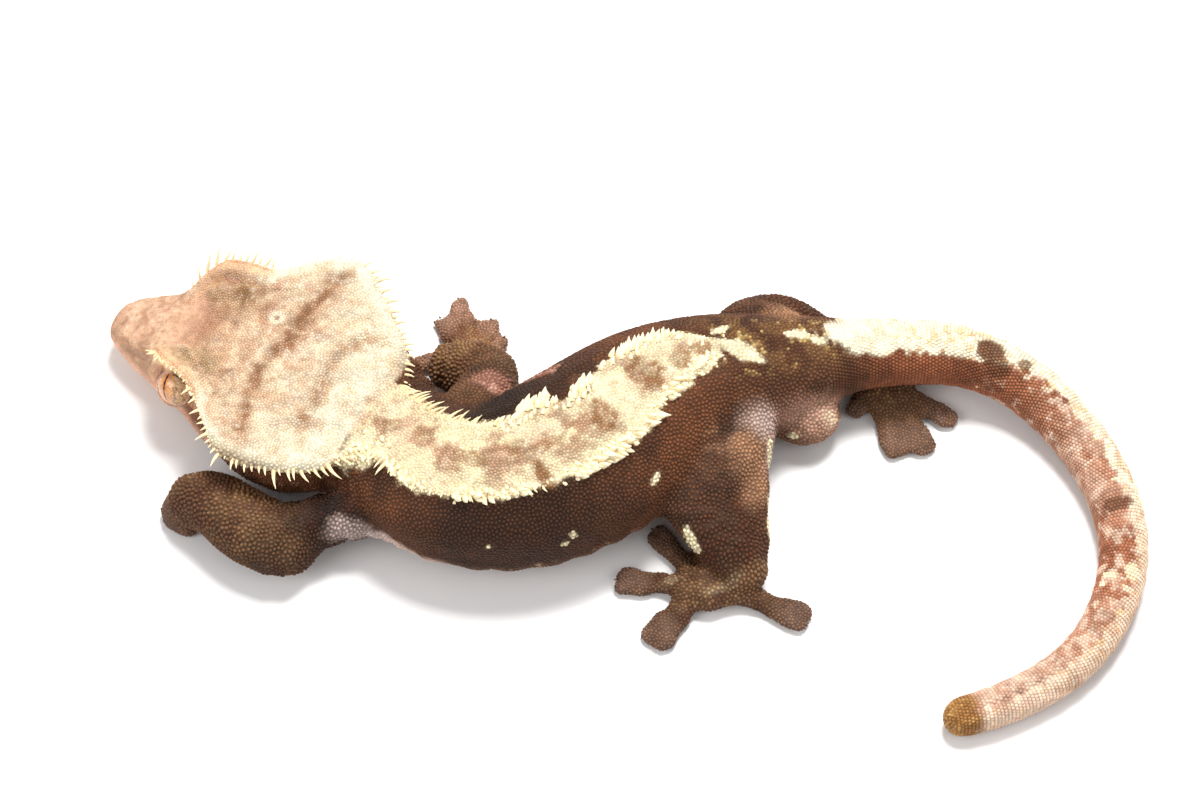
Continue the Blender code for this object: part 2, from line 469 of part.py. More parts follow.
# Sloping cuts as (centre, length across x, length along, degrees that the far side drops).
SLOPES = (
    ((17.6, -21.6, 3.75), 15.0, 9.8, 17.0),          # ankle, left: over the foot and under the shank
    ((16.2, -14.4, 2.3), 14.4, 5.6, 0.0),            # under the knee, over a toe
    ((6.9, -15.2, 2.2), 3.8, 3.2, 0.0),              # under the belly, over a toe
    ((24.35, 12.7, 9.0), 19.0, 22.0, -64.5),         # right leg from the hips
    ((34.2, 9.65, 2.6), 3.4, 5.8, -64.5),            # the same, beside the ankle
    ((35.0, 12.0, 5.35), 3.4, 5.0, -23.0),           # right shank from the tail
)


def inside(tree, point):
    """Whether a point lies in a closed mesh: a ray from it leaves through an odd number of faces."""
    way, at, crossed = Vector((0.213, 0.117, 1.0)).normalized(), Vector(point), 0
    while crossed < 60:
        hit = tree.ray_cast(at, way)[0]
        if hit is None:
            break
        crossed, at = crossed + 1, hit + way * 1e-7
    return crossed % 2 == 1


# A point inside each node, in millimetres.
SEEDS = {
    "head": (-50.0, 8.0, 8.0), "neck": (-29.0, 0.0, 9.0), "trunk_front": (-12.0, -11.0, 9.0), "trunk_rear": (5.0, -4.0, 9.0),
    "hips": (24.0, 4.5, 9.0), "tail_base": (45.0, 8.5, 8.3), "tail_middle": (65.1, -1.7, 4.1), "tail_rear": (68.4, -28.0, 3.3),
    "tail_end": (52.0, -42.2, 2.9),
    "upper_arm_left": (-39.5, -17.6, 5.8), "forearm_left": (-48.0, -16.5, 5.5), "hand_left": (-56.0, -12.6, 3.9),
    "upper_arm_right": (-16.2, 2.8, 6.5), "forearm_right": (-16.2, 7.4, 5.0), "hand_right": (-18.2, 11.2, 2.2),
    "thigh_left": (15.0, -10.5, 8.2), "shank_left": (17.0, -19.0, 6.2), "foot_left": (12.5, -24.3, 1.8),
    "thigh_right": (20.0, 14.0, 7.8), "shank_right": (27.0, 14.6, 5.5), "foot_right": (40.0, 6.5, 1.8),
}


def modify(obj, kind, **settings):
    mod = obj.modifiers.new(kind.lower(), kind)
    for key, value in settings.items():
        setattr(mod, key, value)
    return mod


def applied(obj):
    """The object's evaluated mesh, put in place of its own with no modifiers left."""
    bpy.context.view_layer.update()
    graph = bpy.context.evaluated_depsgraph_get()
    mesh = bpy.data.meshes.new_from_object(obj.evaluated_get(graph))
    obj.modifiers.clear()
    obj.data = mesh


def material(name, colour, roughness):
    mat = bpy.data.materials.new(name)
    mat.use_nodes = True
    shader = mat.node_tree.nodes["Principled BSDF"]
    shader.inputs["Base Color"].default_value = (*colour, 1)
    shader.inputs["Roughness"].default_value = roughness
    shader.inputs["Metallic"].default_value = 0.0
    return mat


def main():
    for obj in list(bpy.data.objects):
        bpy.data.objects.remove(obj, do_unlink=True)
    body_set = bpy.data.collections.new(NAME)
    cutters = bpy.data.collections.new("cutters")
    for c in (body_set, cutters):
        bpy.context.scene.collection.children.link(c)
    cutters.hide_render = True

    # The flesh: every loft, overlapping its neighbours.
    pieces = [loft_mesh("head_loft", head_rings()), loft_mesh("body_loft", body_rings())]
    for rows in (UPPER_ARM_L, FOREARM_L, UPPER_ARM_R, FOREARM_R, THIGH_L, SHANK_L, WEB_L, THIGH_R, SHANK_R):
        pieces.append(loft_mesh("limb_loft", limb_rings(rows)))
    for palm, toes in FEET.values():
        pieces.append(ellipsoid("palm", palm[:3], palm[3:]))
        for base, tip, narrow, pad, curl in toes:
            pieces.append(loft_mesh("toe", toe_rings(base, tip, narrow, pad, curl)))
    for x, y, z, a, b, c in BULGES:
        pieces.append(ellipsoid("bulge", (x, y, z), (a, b, c)))
    _, f, left, high = head_frame()
    for sign in (1, -1):
        b, w, h = ORBIT_AT
        pieces.append(ellipsoid("orbit", head_point(b, sign * w, h), ORBIT_SIZE, axes=(f, left, high)))

    bm = bmesh.new()
    for piece in pieces:
        bm.from_mesh(piece.data)
        bpy.data.objects.remove(piece, do_unlink=True)
    whole = object_from("whole", bm)
    body_set.objects.link(whole)
    modify(whole, "REMESH", mode="VOXEL", voxel_size=FUSE * MM)
    modify(whole, "SMOOTH", factor=0.5, iterations=5)
    applied(whole)
    facets = 2 * len(whole.data.polygons)
    modify(whole, "DECIMATE", ratio=BODY_TRIANGLES / facets)
    applied(whole)

    # Cutters, each its own hidden object.
    def cutter(name, build):
        bm = bmesh.new()
        build(bm)
        bmesh.ops.recalc_face_normals(bm, faces=bm.faces)
        obj = object_from(name, bm)
        cutters.objects.link(obj)
        obj.display_type = "WIRE"
        obj.hide_render = True
        return obj

    def spines(bm):
        for side, lengths in (("left", SPINE_LENGTH_LEFT), ("right", SPINE_LENGTH_RIGHT)):
            p, along, out, u = crest_line(side, SPINES_A_SIDE)
            long_at = pchip(lengths)
            for i in range(len(p)):
                n = float(long_at(u[i]))
                way = out[i] + np.array([0, 0, 0.25]) + along[i] * 0.15
                cone(bm, p[i], way, n, 0.34 + 0.09 * n)

    def floor(bm):
        made = bmesh.ops.create_cube(bm, size=1.0)
        bmesh.ops.transform(bm, matrix=Matrix.Translation((0, 0, -0.01)) @ Matrix.Diagonal((0.3, 0.3, 0.02, 1)), verts=made["verts"])

    def sockets(bm):
        for sign in (1, -1):
            b, w, h = EYE_AT
            made = bmesh.ops.create_uvsphere(bm, u_segments=16, v_segments=9, radius=(EYE_RADIUS + GAP) * MM)
            bmesh.ops.transform(bm, matrix=Matrix.Translation(Vector(head_point(b, sign * w, h) * MM)), verts=made["verts"])

    def cuts(bm):
        for a, b, low, high in CUTS:
            slab(bm, a, b, low, high)
        s = along_spine(34.4)                                              # hips from tail, clear of the right foot
        for half, low, high in ((3.2, 2.4, 5.0), (5.4, 4.7, 6.4), (6.6, 6.2, 18.0)):
            spine_slab(bm, s, half, low, high)
        for s in TAIL_CUTS:
            spine_slab(bm, s, 6.2)
        for centre, across, along, drop in SLOPES:
            made = bmesh.ops.create_cube(bm, size=1.0)
            turn = Matrix.Rotation(math.radians(-drop), 4, "X")
            bmesh.ops.transform(bm, matrix=Matrix.Translation(Vector(centre) * MM) @ turn
                                @ Matrix.Diagonal((across * MM, along * MM, GAP * MM, 1)), verts=made["verts"])

    union = cutter("crest_spines", spines)
    modify(whole, "BOOLEAN", operation="UNION", object=union, solver="EXACT")
    ground = cutter("ground", floor)
    modify(whole, "BOOLEAN", operation="DIFFERENCE", object=ground, solver="EXACT")
    eye_holes = cutter("sockets", sockets)
    modify(whole, "BOOLEAN", operation="DIFFERENCE", object=eye_holes, solver="EXACT")
    parting = cutter("parting", cuts)
    modify(whole, "BOOLEAN", operation="DIFFERENCE", object=parting, solver="EXACT", use_self=True)
    applied(whole)

    # The loose pieces, each named by the point that it holds.
    bm = bmesh.new()
    bm.from_mesh(whole.data)
    bpy.data.objects.remove(whole, do_unlink=True)
    left_over = set(bm.verts)
    groups = []
    while left_over:
        stack = [left_over.pop()]
        group = set(stack)
        while stack:
            for edge in stack.pop().link_edges:
                for v in edge.verts:
                    if v not in group:
                        group.add(v)
                        left_over.discard(v)
                        stack.append(v)
        groups.append(group)
    made = {}
    for group in groups:
        piece = bmesh.new()
        index = {v: piece.verts.new(v.co) for v in group}
        for face in {f for v in group for f in v.link_faces}:
            piece.faces.new([index[v] for v in face.verts])
        piece.normal_update()
        tree = BVHTree.FromBMesh(piece)
        names = [name for name, at in SEEDS.items() if inside(tree, Vector(at) * MM)]
        size = piece.calc_volume() * 1e9
        if size < LEAST_PIECE:
            piece.free()
            continue
        name = names[0] if len(names) == 1 else "unnamed_" + "_".join(names)[:40]
        made[name] = object_from(name, piece)
    for name, sign in (("eye_left", 1), ("eye_right", -1)):
        b, w, h = EYE_AT
        made[name] = ellipsoid(name, head_point(b, sign * w, h), (EYE_RADIUS,) * 3, segments=16)
    for name, obj in sorted(made.items()):
        obj.data.transform(Matrix.Translation(Vector(SHIFT) * MM))
        kind = name.split("_")[0]
        obj.data.materials.clear()
        obj.data.materials.append(material(name, COLOUR.get(kind, BROWN), 0.15 if kind == "eye" else 0.6))
        body_set.objects.link(obj)


if __name__ == "__main__":
    main()
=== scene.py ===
"""Looks of the crested gecko: one skin with its scales, crest spines, claws and eyes.

Lengths are millimetres in the body's own frame until a mesh is made.
"""
import math

import bmesh
import bpy
import numpy as np
from mathutils import Matrix, Vector
from mathutils.bvhtree import BVHTree


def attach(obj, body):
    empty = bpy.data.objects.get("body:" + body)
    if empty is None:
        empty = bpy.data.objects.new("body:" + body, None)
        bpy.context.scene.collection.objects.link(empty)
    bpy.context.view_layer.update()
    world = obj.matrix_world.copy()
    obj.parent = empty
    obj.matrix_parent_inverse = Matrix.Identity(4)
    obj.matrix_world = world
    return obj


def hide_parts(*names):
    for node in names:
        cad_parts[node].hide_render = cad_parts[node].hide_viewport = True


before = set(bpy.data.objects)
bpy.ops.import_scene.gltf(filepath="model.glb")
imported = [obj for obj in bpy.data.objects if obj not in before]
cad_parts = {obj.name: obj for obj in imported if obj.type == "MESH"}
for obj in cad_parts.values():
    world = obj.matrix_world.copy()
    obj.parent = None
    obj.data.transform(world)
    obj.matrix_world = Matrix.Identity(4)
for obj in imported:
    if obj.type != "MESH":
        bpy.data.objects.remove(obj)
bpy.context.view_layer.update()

MM = 0.001
NAME = "crested_gecko"

# ---------------------------------------------------------------- sizes (mm)
SHIFT = (-2.869, 11.908, 0.0)        # moves the origin under the middle of the whole body

SNOUT = (-67.8, 15.9, 5.1)         # tip of the snout
HEAD_YAW, HEAD_PITCH, HEAD_ROLL = 24.5, 2.0, -3.0
EYE_AT = (15.2, 7.9, 3.6)          # back from the snout, out from the midline, up
EYE_RADIUS = 3.3
ORBIT_AT = (15.2, 6.9, 4.0)
ORBIT_SIZE = (4.9, 3.6, 4.5)

# Head profiles, as (distance back from the snout tip, value).
HEAD_TOP = ((0, 0.3), (0.5, 1.3), (1.5, 2.1), (3.5, 3.1), (7, 4.3), (11, 6.0), (15, 7.4), (19.5, 8.0),
            (23.5, 8.1), (27.5, 8.1), (32, 7.9), (37, 7.3), (41, 6.7), (44, 6.3), (48, 6.0))
CREST_HEIGHT = ((0, 0.2), (0.5, 1.0), (1.5, 1.7), (3.5, 2.6), (7, 4.0), (9.6, 5.6), (11.5, 8.4), (14, 9.2), (17, 9.1), (19.5, 8.7),
                (23.5, 8.6), (27.5, 8.5), (32, 8.2), (37, 7.5), (41, 6.8), (44, 6.1), (48, 5.2))
CREST_LEFT = ((0, 0.6), (0.5, 2.0), (1.5, 3.0), (3.5, 4.0), (7, 5.0), (9.6, 5.7), (11.2, 7.2), (14, 8.9), (17, 9.9), (19.5, 11.7),
              (23.5, 15.6), (27, 18.3), (29.5, 18.5), (32, 18.0), (37, 16.3), (41, 13.0), (43.5, 9.5), (48, 7.5))
CREST_RIGHT = ((0, 0.6), (0.5, 2.0), (1.5, 3.0), (3.5, 4.0), (7, 5.0), (9.6, 5.8), (11.2, 8.3), (14, 11.1), (17, 11.8), (19.5, 12.1),
               (23.5, 14.9), (27, 17.4), (29.5, 18.0), (32, 17.5), (34.5, 15.5), (37.5, 12.9), (41, 9.7), (43.5, 6.8), (46, 5.0), (48, 4.6))
CHEEK = ((0, 0.7), (0.5, 2.1), (1.5, 3.2), (3.5, 4.5), (7, 5.9), (11, 7.3), (15, 8.8), (19.5, 11.2), (23.5, 13.1),
         (27.5, 14.4), (32, 14.7), (37, 12.8), (41, 10.6), (44, 8.4), (48, 5.6))
CHEEK_HEIGHT = ((0, -0.4), (1.5, -0.8), (7, -1.2), (15, -1.6), (25, -1.9), (34, -1.4), (48, 0.0))
TEMPLE = ((0, 0.6), (0.5, 2.0), (1.5, 3.0), (3.5, 4.2), (7, 5.2), (11, 6.4), (15, 7.6), (19.5, 10.4), (23.5, 12.5),
          (27.5, 13.9), (32, 13.9), (37, 12.2), (41, 10.0), (44, 8.0), (48, 5.4))
CHIN = ((0, -0.7), (0.5, -1.5), (1.5, -2.1), (3.5, -2.9), (7, -3.8), (11, -4.5), (15, -5.0), (19.5, -5.4),
        (23.5, -5.7), (28, -6.1), (34, -6.4), (48, -7.6))

# Spine stations: name, x, y, z, half width left, half width right, up, down, lean of the back to the left.
SPINE = (
    ("nape", -38.5, 2.4, 7.8, 8.4, 8.4, 5.2, 7.0, 0.0),
    ("neck", -33.0, -1.0, 8.0, 9.0, 8.6, 5.8, 8.2, 0.4),
    ("throat", -27.6, -5.4, 8.4, 10.2, 9.0, 6.8, 8.7, 1.2),
    ("shoulders", -22.2, -9.7, 8.9, 11.8, 10.2, 8.0, 9.2, 1.5),
    ("chest", -16.0, -12.0, 9.4, 12.0, 11.8, 9.0, 9.7, 1.3),
    ("ribs", -9.6, -11.6, 9.8, 12.4, 12.4, 9.7, 10.1, 0.6),
    ("belly", -3.0, -8.7, 10.0, 12.6, 12.7, 10.1, 10.3, 0.2),
    ("flank", 4.0, -4.9, 10.0, 11.6, 12.6, 10.1, 10.3, -1.4),
    ("waist", 11.0, -0.9, 10.0, 9.4, 11.4, 9.7, 10.2, -2.1),
    ("hips", 18.0, 2.9, 9.8, 8.6, 9.6, 8.7, 9.7, -0.8),
    ("sacrum", 25.0, 5.5, 9.4, 7.2, 7.4, 6.9, 8.0, 0.0),
    ("vent", 31.0, 7.1, 9.1, 5.7, 5.7, 5.5, 5.6, 0.0),
    ("root", 36.0, 8.0, 8.9, 4.8, 4.8, 4.8, 4.5, 0.0),
    ("tail_1", 41.5, 8.5, 8.6, 4.5, 4.5, 4.5, 4.2, 0.0),
    ("tail_2", 47.5, 8.7, 7.9, 4.25, 4.25, 4.3, 4.1, 0.0),
    ("tail_3", 53.9, 7.6, 6.4, 3.95, 3.95, 4.0, 3.9, 0.0),
    ("tail_4", 60.0, 4.1, 5.0, 3.75, 3.75, 3.8, 3.8, 0.0),
    ("tail_5", 65.1, -1.7, 4.1, 3.6, 3.6, 3.6, 3.7, 0.0),
    ("tail_6", 69.0, -9.2, 3.6, 3.45, 3.45, 3.5, 3.7, 0.0),
    ("tail_7", 70.6, -18.7, 3.4, 3.3, 3.3, 3.3, 3.6, 0.0),
    ("tail_8", 68.4, -28.0, 3.3, 3.15, 3.0, 3.1, 3.5, 0.0),
    ("tail_9", 62.9, -36.1, 3.2, 3.0, 2.6, 3.0, 3.4, 0.0),
    ("tail_10", 55.6, -41.0, 3.0, 2.95, 2.45, 2.8, 3.2, 0.0),
    ("tail_11", 49.6, -43.4, 2.9, 2.85, 2.3, 2.7, 3.1, 0.0),
    ("tail_end", 47.2, -44.0, 2.8, 2.7, 2.2, 2.5, 3.0, 0.0),
)
BAND = ((0, 5.4), (12, 5.4), (20, 5.7), (28, 6.4), (36, 7.0), (44, 6.9), (51, 6.4), (58, 5.0), (66, 3.8), (76, 3.0))  # dorsal band half width
RIDGE = ((0, 0.2), (6, 0.9), (40, 0.8), (52, 0.5), (62, 0.2), (74, 0.0))                       # dorsal crest height

# Limb paths: x, y, z, half width across, half width up.
UPPER_ARM_L = ((-20.5, -11.0, 8.0, 5.0, 5.6), (-26.5, -14.0, 7.4, 4.6, 5.0), (-32.0, -15.3, 6.8, 3.7, 4.0),
               (-36.7, -16.4, 6.2, 3.4, 3.7), (-40.5, -18.0, 5.7, 4.1, 4.4), (-43.6, -19.3, 5.3, 4.7, 4.7))
FOREARM_L = ((-42.5, -19.2, 5.3, 4.7, 4.7), (-46.0, -17.8, 5.5, 4.9, 4.8), (-49.4, -15.5, 5.6, 4.6, 4.8),
             (-52.4, -13.4, 5.4, 4.1, 4.6), (-54.6, -12.6, 4.9, 3.6, 4.2))
UPPER_ARM_R = ((-19.5, -5.5, 8.5, 5.0, 5.4), (-17.0, 0.0, 7.4, 4.4, 4.6), (-15.2, 4.0, 6.2, 4.1, 4.0),
               (-15.0, 6.6, 5.2, 3.8, 3.8))
FOREARM_R = ((-15.2, 6.8, 5.0, 3.9, 3.8), (-17.8, 8.0, 4.6, 4.1, 3.7), (-20.4, 8.8, 3.9, 3.9, 3.2))
THIGH_L = ((20.0, 2.5, 9.2, 5.6, 6.0), (17.8, -3.5, 9.0, 6.2, 5.4), (15.0, -9.5, 8.4, 6.0, 4.9), (13.0, -14.4, 7.4, 5.0, 4.3))
SHANK_L = ((13.0, -13.6, 7.4, 4.8, 4.2), (15.6, -17.0, 6.4, 5.0, 4.0), (17.8, -20.0, 5.2, 4.5, 3.6), (19.3, -22.6, 3.8, 3.6, 3.0))
WEB_L = ((21.0, -2.5, 7.6, 2.4, 3.4), (20.0, -8.5, 7.2, 3.0, 3.4), (19.7, -14.5, 6.2, 3.0, 3.1), (20.3, -20.0, 4.6, 2.5, 2.6))
THIGH_R = ((27.5, 5.5, 8.6, 5.0, 5.4), (24.4, 9.8, 8.9, 4.8, 4.8), (20.8, 12.4, 8.0, 4.4, 4.4))
SHANK_R = ((20.0, 12.4, 7.6, 4.3, 4.2), (25.2, 14.3, 6.2, 4.2, 4.0), (30.8, 13.8, 3.8, 2.8, 2.6), (35.2, 11.6, 2.5, 2.4, 2.0))
BULGES = ((28.0, 0.9, 4.6, 5.2, 4.4, 4.2), (26.5, 10.4, 4.6, 5.0, 3.8, 4.0))   # behind the vent: place, size

# Feet: palm (x, y, z, half length, half width, half height), then toes (base, tip, base and pad half width).
FEET = {
    "hand_l": ((-55.6, -12.7, 3.9, 3.2, 3.5, 3.2), (
        ((-56.2, -10.2, 3.2), (-57.4, -9.4, 1.3), 1.0, 1.2, (-54.8, -9.2, 0.75)),
        ((-57.0, -11.2, 3.2), (-58.6, -10.8, 1.5), 1.0, 1.3, (-56.2, -10.7, 0.7)),
        ((-57.4, -12.4, 3.2), (-59.2, -12.4, 1.5), 1.0, 1.35, (-56.8, -12.5, 0.7)),
        ((-57.2, -13.6, 3.0), (-58.8, -14.0, 1.4), 1.0, 1.3, (-56.4, -14.1, 0.7)),
        ((-56.2, -14.4, 2.8), (-57.0, -15.2, 1.3), 0.9, 1.1, (-54.6, -14.9, 0.7)),
    )),
    "hand_r": ((-18.2, 10.6, 2.3, 4.0, 3.5, 2.2), (
        ((-20.0, 11.6, 1.6), (-26.4, 11.2, 0.8), 1.1, 1.45, None),
        ((-19.4, 12.8, 1.6), (-22.8, 18.8, 0.8), 1.1, 1.5, None),
        ((-17.8, 13.2, 1.6), (-20.2, 22.0, 0.8), 1.1, 1.55, None),
        ((-16.6, 12.6, 1.6), (-15.3, 18.6, 0.8), 1.1, 1.5, None),
        ((-15.8, 11.4, 1.6), (-13.2, 15.6, 0.8), 1.0, 1.15, None),
    )),
    "foot_l": ((14.6, -24.3, 2.2, 5.0, 3.7, 2.1), (
        ((12.6, -21.8, 1.6), (6.8, -14.9, 0.75), 1.4, 1.95, None),
        ((10.6, -23.6, 1.5), (1.7, -22.9, 0.8), 1.5, 2.3, None),
        ((12.0, -26.0, 1.5), (6.4, -32.8, 0.8), 1.9, 2.65, None),
        ((15.2, -21.6, 1.6), (13.0, -14.8, 0.8), 1.2, 1.6, None),
        ((20.0, -25.6, 1.6), (28.4, -29.0, 0.8), 1.6, 2.5, None),
    )),
    "foot_r": ((39.2, 7.4, 1.5, 4.2, 3.3, 1.4), (
        ((38.4, 4.8, 1.5), (41.4, -4.1, 0.8), 1.4, 2.15, None),
        ((41.2, 5.2, 1.5), (45.4, -3.6, 0.8), 1.4, 2.05, None),
        ((42.0, 6.6, 1.5), (49.6, 1.3, 0.8), 1.25, 1.8, None),
        ((41.4, 8.8, 1.5), (49.4, 9.6, 0.8), 1.2, 1.7, None),
        ((36.6, 6.0, 1.5), (34.8, 2.4, 0.8), 1.2, 1.5, None),
    )),
}
TOE_THICK = 0.95                   # half thickness of a toe at its pad

# Crest spines on the head and neck: count, and length along the crest from the brow to the shoulder.
SPINE_LENGTH_LEFT = ((0.0, 1.1), (0.2, 1.6), (0.4, 2.2), (0.55, 2.9), (0.66, 1.7), (1.0, 1.5))
SPINE_LENGTH_RIGHT = ((0.0, 0.8), (0.2, 1.3), (0.35, 1.9), (0.5, 2.2), (0.7, 3.2), (0.85, 3.6), (1.0, 2.4))


# ------------------------------------------------------------------- curves
def pchip(table):
    """A smooth curve through the table's values that never overshoots them."""
    table = np.asarray(table, float)
    x, y = table[:, 0], table[:, 1:]
    h = np.diff(x)[:, None]
    slope = np.diff(y, axis=0) / h
    m = np.zeros_like(y)
    a, b = slope[:-1], slope[1:]
    w1, w2 = 2 * h[1:] + h[:-1], h[1:] + 2 * h[:-1]
    same = a * b > 0
    m[1:-1] = np.where(same, (w1 + w2) / (w1 / np.where(same, a, 1) + w2 / np.where(same, b, 1)), 0)
    m[0], m[-1] = slope[0], slope[-1]

    def value(t):
        t = np.clip(np.asarray(t, float), x[0], x[-1])
        i = np.clip(np.searchsorted(x, t, side="right") - 1, 0, len(x) - 2)
        hh = (x[i + 1] - x[i])[..., None]
        u = (t - x[i])[..., None] / hh
        out = ((1 + 2 * u) * (1 - u) ** 2 * y[i] + u * (1 - u) ** 2 * hh * m[i]
               + u * u * (3 - 2 * u) * y[i + 1] + u * u * (u - 1) * hh * m[i + 1])
        return out[..., 0] if out.shape[-1] == 1 else out
    return value


def natural(points):
    """A natural cubic through points by chord length; returns (curve, length)."""
    p = np.asarray(points, float)
    d = np.linalg.norm(np.diff(p[:, :3], axis=0), axis=1)
    x = np.concatenate([[0], np.cumsum(d)])
    n = len(x)
    A, r = np.eye(n), np.zeros((n, p.shape[1]))
    for i in range(1, n - 1):
        A[i, i - 1], A[i, i], A[i, i + 1] = d[i - 1], 2 * (d[i - 1] + d[i]), d[i]
        r[i] = 6 * ((p[i + 1] - p[i]) / d[i] - (p[i] - p[i - 1]) / d[i - 1])
    k = np.linalg.solve(A, r)

    def value(t):
        t = np.clip(np.asarray(t, float), 0, x[-1])
        i = np.clip(np.searchsorted(x, t, side="right") - 1, 0, n - 2)
        h, a, b = d[i][..., None], (x[i + 1] - t)[..., None], (t - x[i])[..., None]
        return (k[i] * a ** 3 + k[i + 1] * b ** 3) / (6 * h) + (p[i] / h - k[i] * h / 6) * a + (p[i + 1] / h - k[i + 1] * h / 6) * b
    return value, x[-1]


# -------------------------------------------------------------------- frames
def head_frame():
    yaw, pitch, roll = (math.radians(v) for v in (HEAD_YAW, HEAD_PITCH, HEAD_ROLL))
    f = np.array([-math.cos(yaw) * math.cos(pitch), math.sin(yaw) * math.cos(pitch), -math.sin(pitch)])
    side = np.array([-math.sin(yaw), -math.cos(yaw), 0.0])
    up = np.cross(f, side)
    left = side * math.cos(roll) - up * math.sin(roll)
    return np.array(SNOUT), f, left, np.cross(f, left)


def head_point(back, out, up):
    """From the head's own measures (back, out to the left, up) to the body's frame."""
    tip, f, left, high = head_frame()
    back, out, up = (np.asarray(v, float)[..., None] for v in (back, out, up))
    return tip - f * back + left * out + high * up


SPINE_CURVE, SPINE_LENGTH = natural([row[1:] for row in SPINE])


def spine_frame(s):
    """Centre, tailward tangent, left and up at a distance along the spine, with its widths."""
    row = SPINE_CURVE(s)
    step = SPINE_CURVE(np.asarray(s) + 0.3) - SPINE_CURVE(np.asarray(s) - 0.3)
    t = step[..., :3] / np.linalg.norm(step[..., :3], axis=-1, keepdims=True)
    left = np.stack([t[..., 1], -t[..., 0], np.zeros(t.shape[:-1])], -1)
    left /= np.linalg.norm(left, axis=-1, keepdims=True)
    return row[..., :3], t, left, np.cross(left, t) * -1, row[..., 3:]


# --------------------------------------------------------------------- lofts
def loft_mesh(name, rings):
    """A closed mesh through rings of equal counts, each a closed loop, with a fan at each end."""
    bm = bmesh.new()
    loops = [[bm.verts.new(p * MM) for p in ring] for ring in rings]
    n = len(loops[0])
    for a, b in zip(loops[:-1], loops[1:]):
        for i in range(n):
            bm.faces.new((a[i], a[(i + 1) % n], b[(i + 1) % n], b[i]))
    for loop, ring, turn in ((loops[0], rings[0], True), (loops[-1], rings[-1], False)):
        mid = bm.verts.new(np.mean(ring, axis=0) * MM)
        for i in range(n):
            pair = (loop[(i + 1) % n], loop[i]) if turn else (loop[i], loop[(i + 1) % n])
            bm.faces.new((*pair, mid))
    bmesh.ops.recalc_face_normals(bm, faces=bm.faces)
    return object_from(name, bm)


def object_from(name, bm):
    mesh = bpy.data.meshes.new(name)
    bm.to_mesh(mesh)
    bm.free()
    return bpy.data.objects.new(name, mesh)


def closed_curve(points, count):
    """A smooth closed loop through the points of a half section and its mirror."""
    p = np.asarray(points, float)
    n = len(p)
    per = count // n
    u = np.arange(per) / per
    out = []
    for i in range(n):
        p0, p1, p2, p3 = p[i - 1], p[i], p[(i + 1) % n], p[(i + 2) % n]
        d0, d1, d2 = (max(np.linalg.norm(q), 1e-6) ** 0.5 for q in (p1 - p0, p2 - p1, p3 - p2))
        m1 = (p2 - p1) + d1 * ((p1 - p0) / d0 - (p2 - p0) / (d0 + d1))
        m2 = (p2 - p1) + d1 * ((p3 - p2) / d2 - (p3 - p1) / (d1 + d2))
        w = u[:, None]
        out.append((2 * w ** 3 - 3 * w ** 2 + 1) * p1 + (w ** 3 - 2 * w ** 2 + w) * m1
                   + (3 * w ** 2 - 2 * w ** 3) * p2 + (w ** 3 - w ** 2) * m2)
    return np.concatenate(out)


HEAD = {key: pchip(table) for key, table in dict(
    top=HEAD_TOP, crest=CREST_HEIGHT, left=CREST_LEFT, right=CREST_RIGHT, cheek=CHEEK,
    cheek_h=CHEEK_HEIGHT, temple=TEMPLE, chin=CHIN).items()}


def head_section(b, count=96):
    """Outline across the head at a distance back from the snout, as (out, up)."""
    v = {key: float(curve(b)) for key, curve in HEAD.items()}
    thick = np.interp(b, (0, 8, 20, 30, 48), (0.5, 1.0, 1.1, 1.1, 1.4))
    halves = []
    for edge in (v["left"], v["right"]):
        ch, cr = v["cheek_h"], v["crest"]
        halves.append([
            (edge * 0.52, v["top"] - 0.02 * edge),
            (edge - thick * 0.9, cr + 0.12),
            (edge, cr - thick * 0.5),
            (edge - thick * 0.9, cr - thick * 1.25),
            (v["temple"], cr - (cr - ch) * 0.45),
            (v["cheek"], ch),
            (v["cheek"] * 0.93, ch + (v["chin"] - ch) * 0.52),
            (v["cheek"] * 0.55, v["chin"] + (ch - v["chin"]) * 0.04),
        ])
    loop = [(0.0, v["top"])] + halves[0] + [(0.0, v["chin"])] + [(-w, h) for w, h in halves[1][::-1]]
    return closed_curve(loop, count - count % len(loop))


def head_rings():
    stations = np.concatenate([np.linspace(0, 1, 6)[:-1] ** 1.5, np.arange(1, 48.1, 1.0)])
    rings = []
    for b in stations:
        section = head_section(b)
        rings.append(head_point(np.full(len(section), b), section[:, 0], section[:, 1]))
    return rings


BAND_AT, RIDGE_AT = pchip(BAND), pchip(RIDGE)


def body_section(widths, band, ridge, count=80):
    wl, wr, up, down, lean = widths
    a = np.arange(count) / count * 2 * math.pi
    c, s = np.cos(a), np.sin(a)
    out = np.where(c > 0, wl, wr) * np.sign(c) * np.abs(c) ** (2 / 2.15)
    high = np.where(s > 0, up * np.abs(s) ** (2 / 2.1), -down * np.abs(s) ** (2 / 2.5))
    crest = ridge * (np.exp(-((out - band) / 0.9) ** 2) + np.exp(-((out + band) / 0.9) ** 2))
    high = high + np.where(s > 0.2, crest, 0)
    out = out + lean * np.clip(high / max(up, 1), 0, 1)
    return out, high


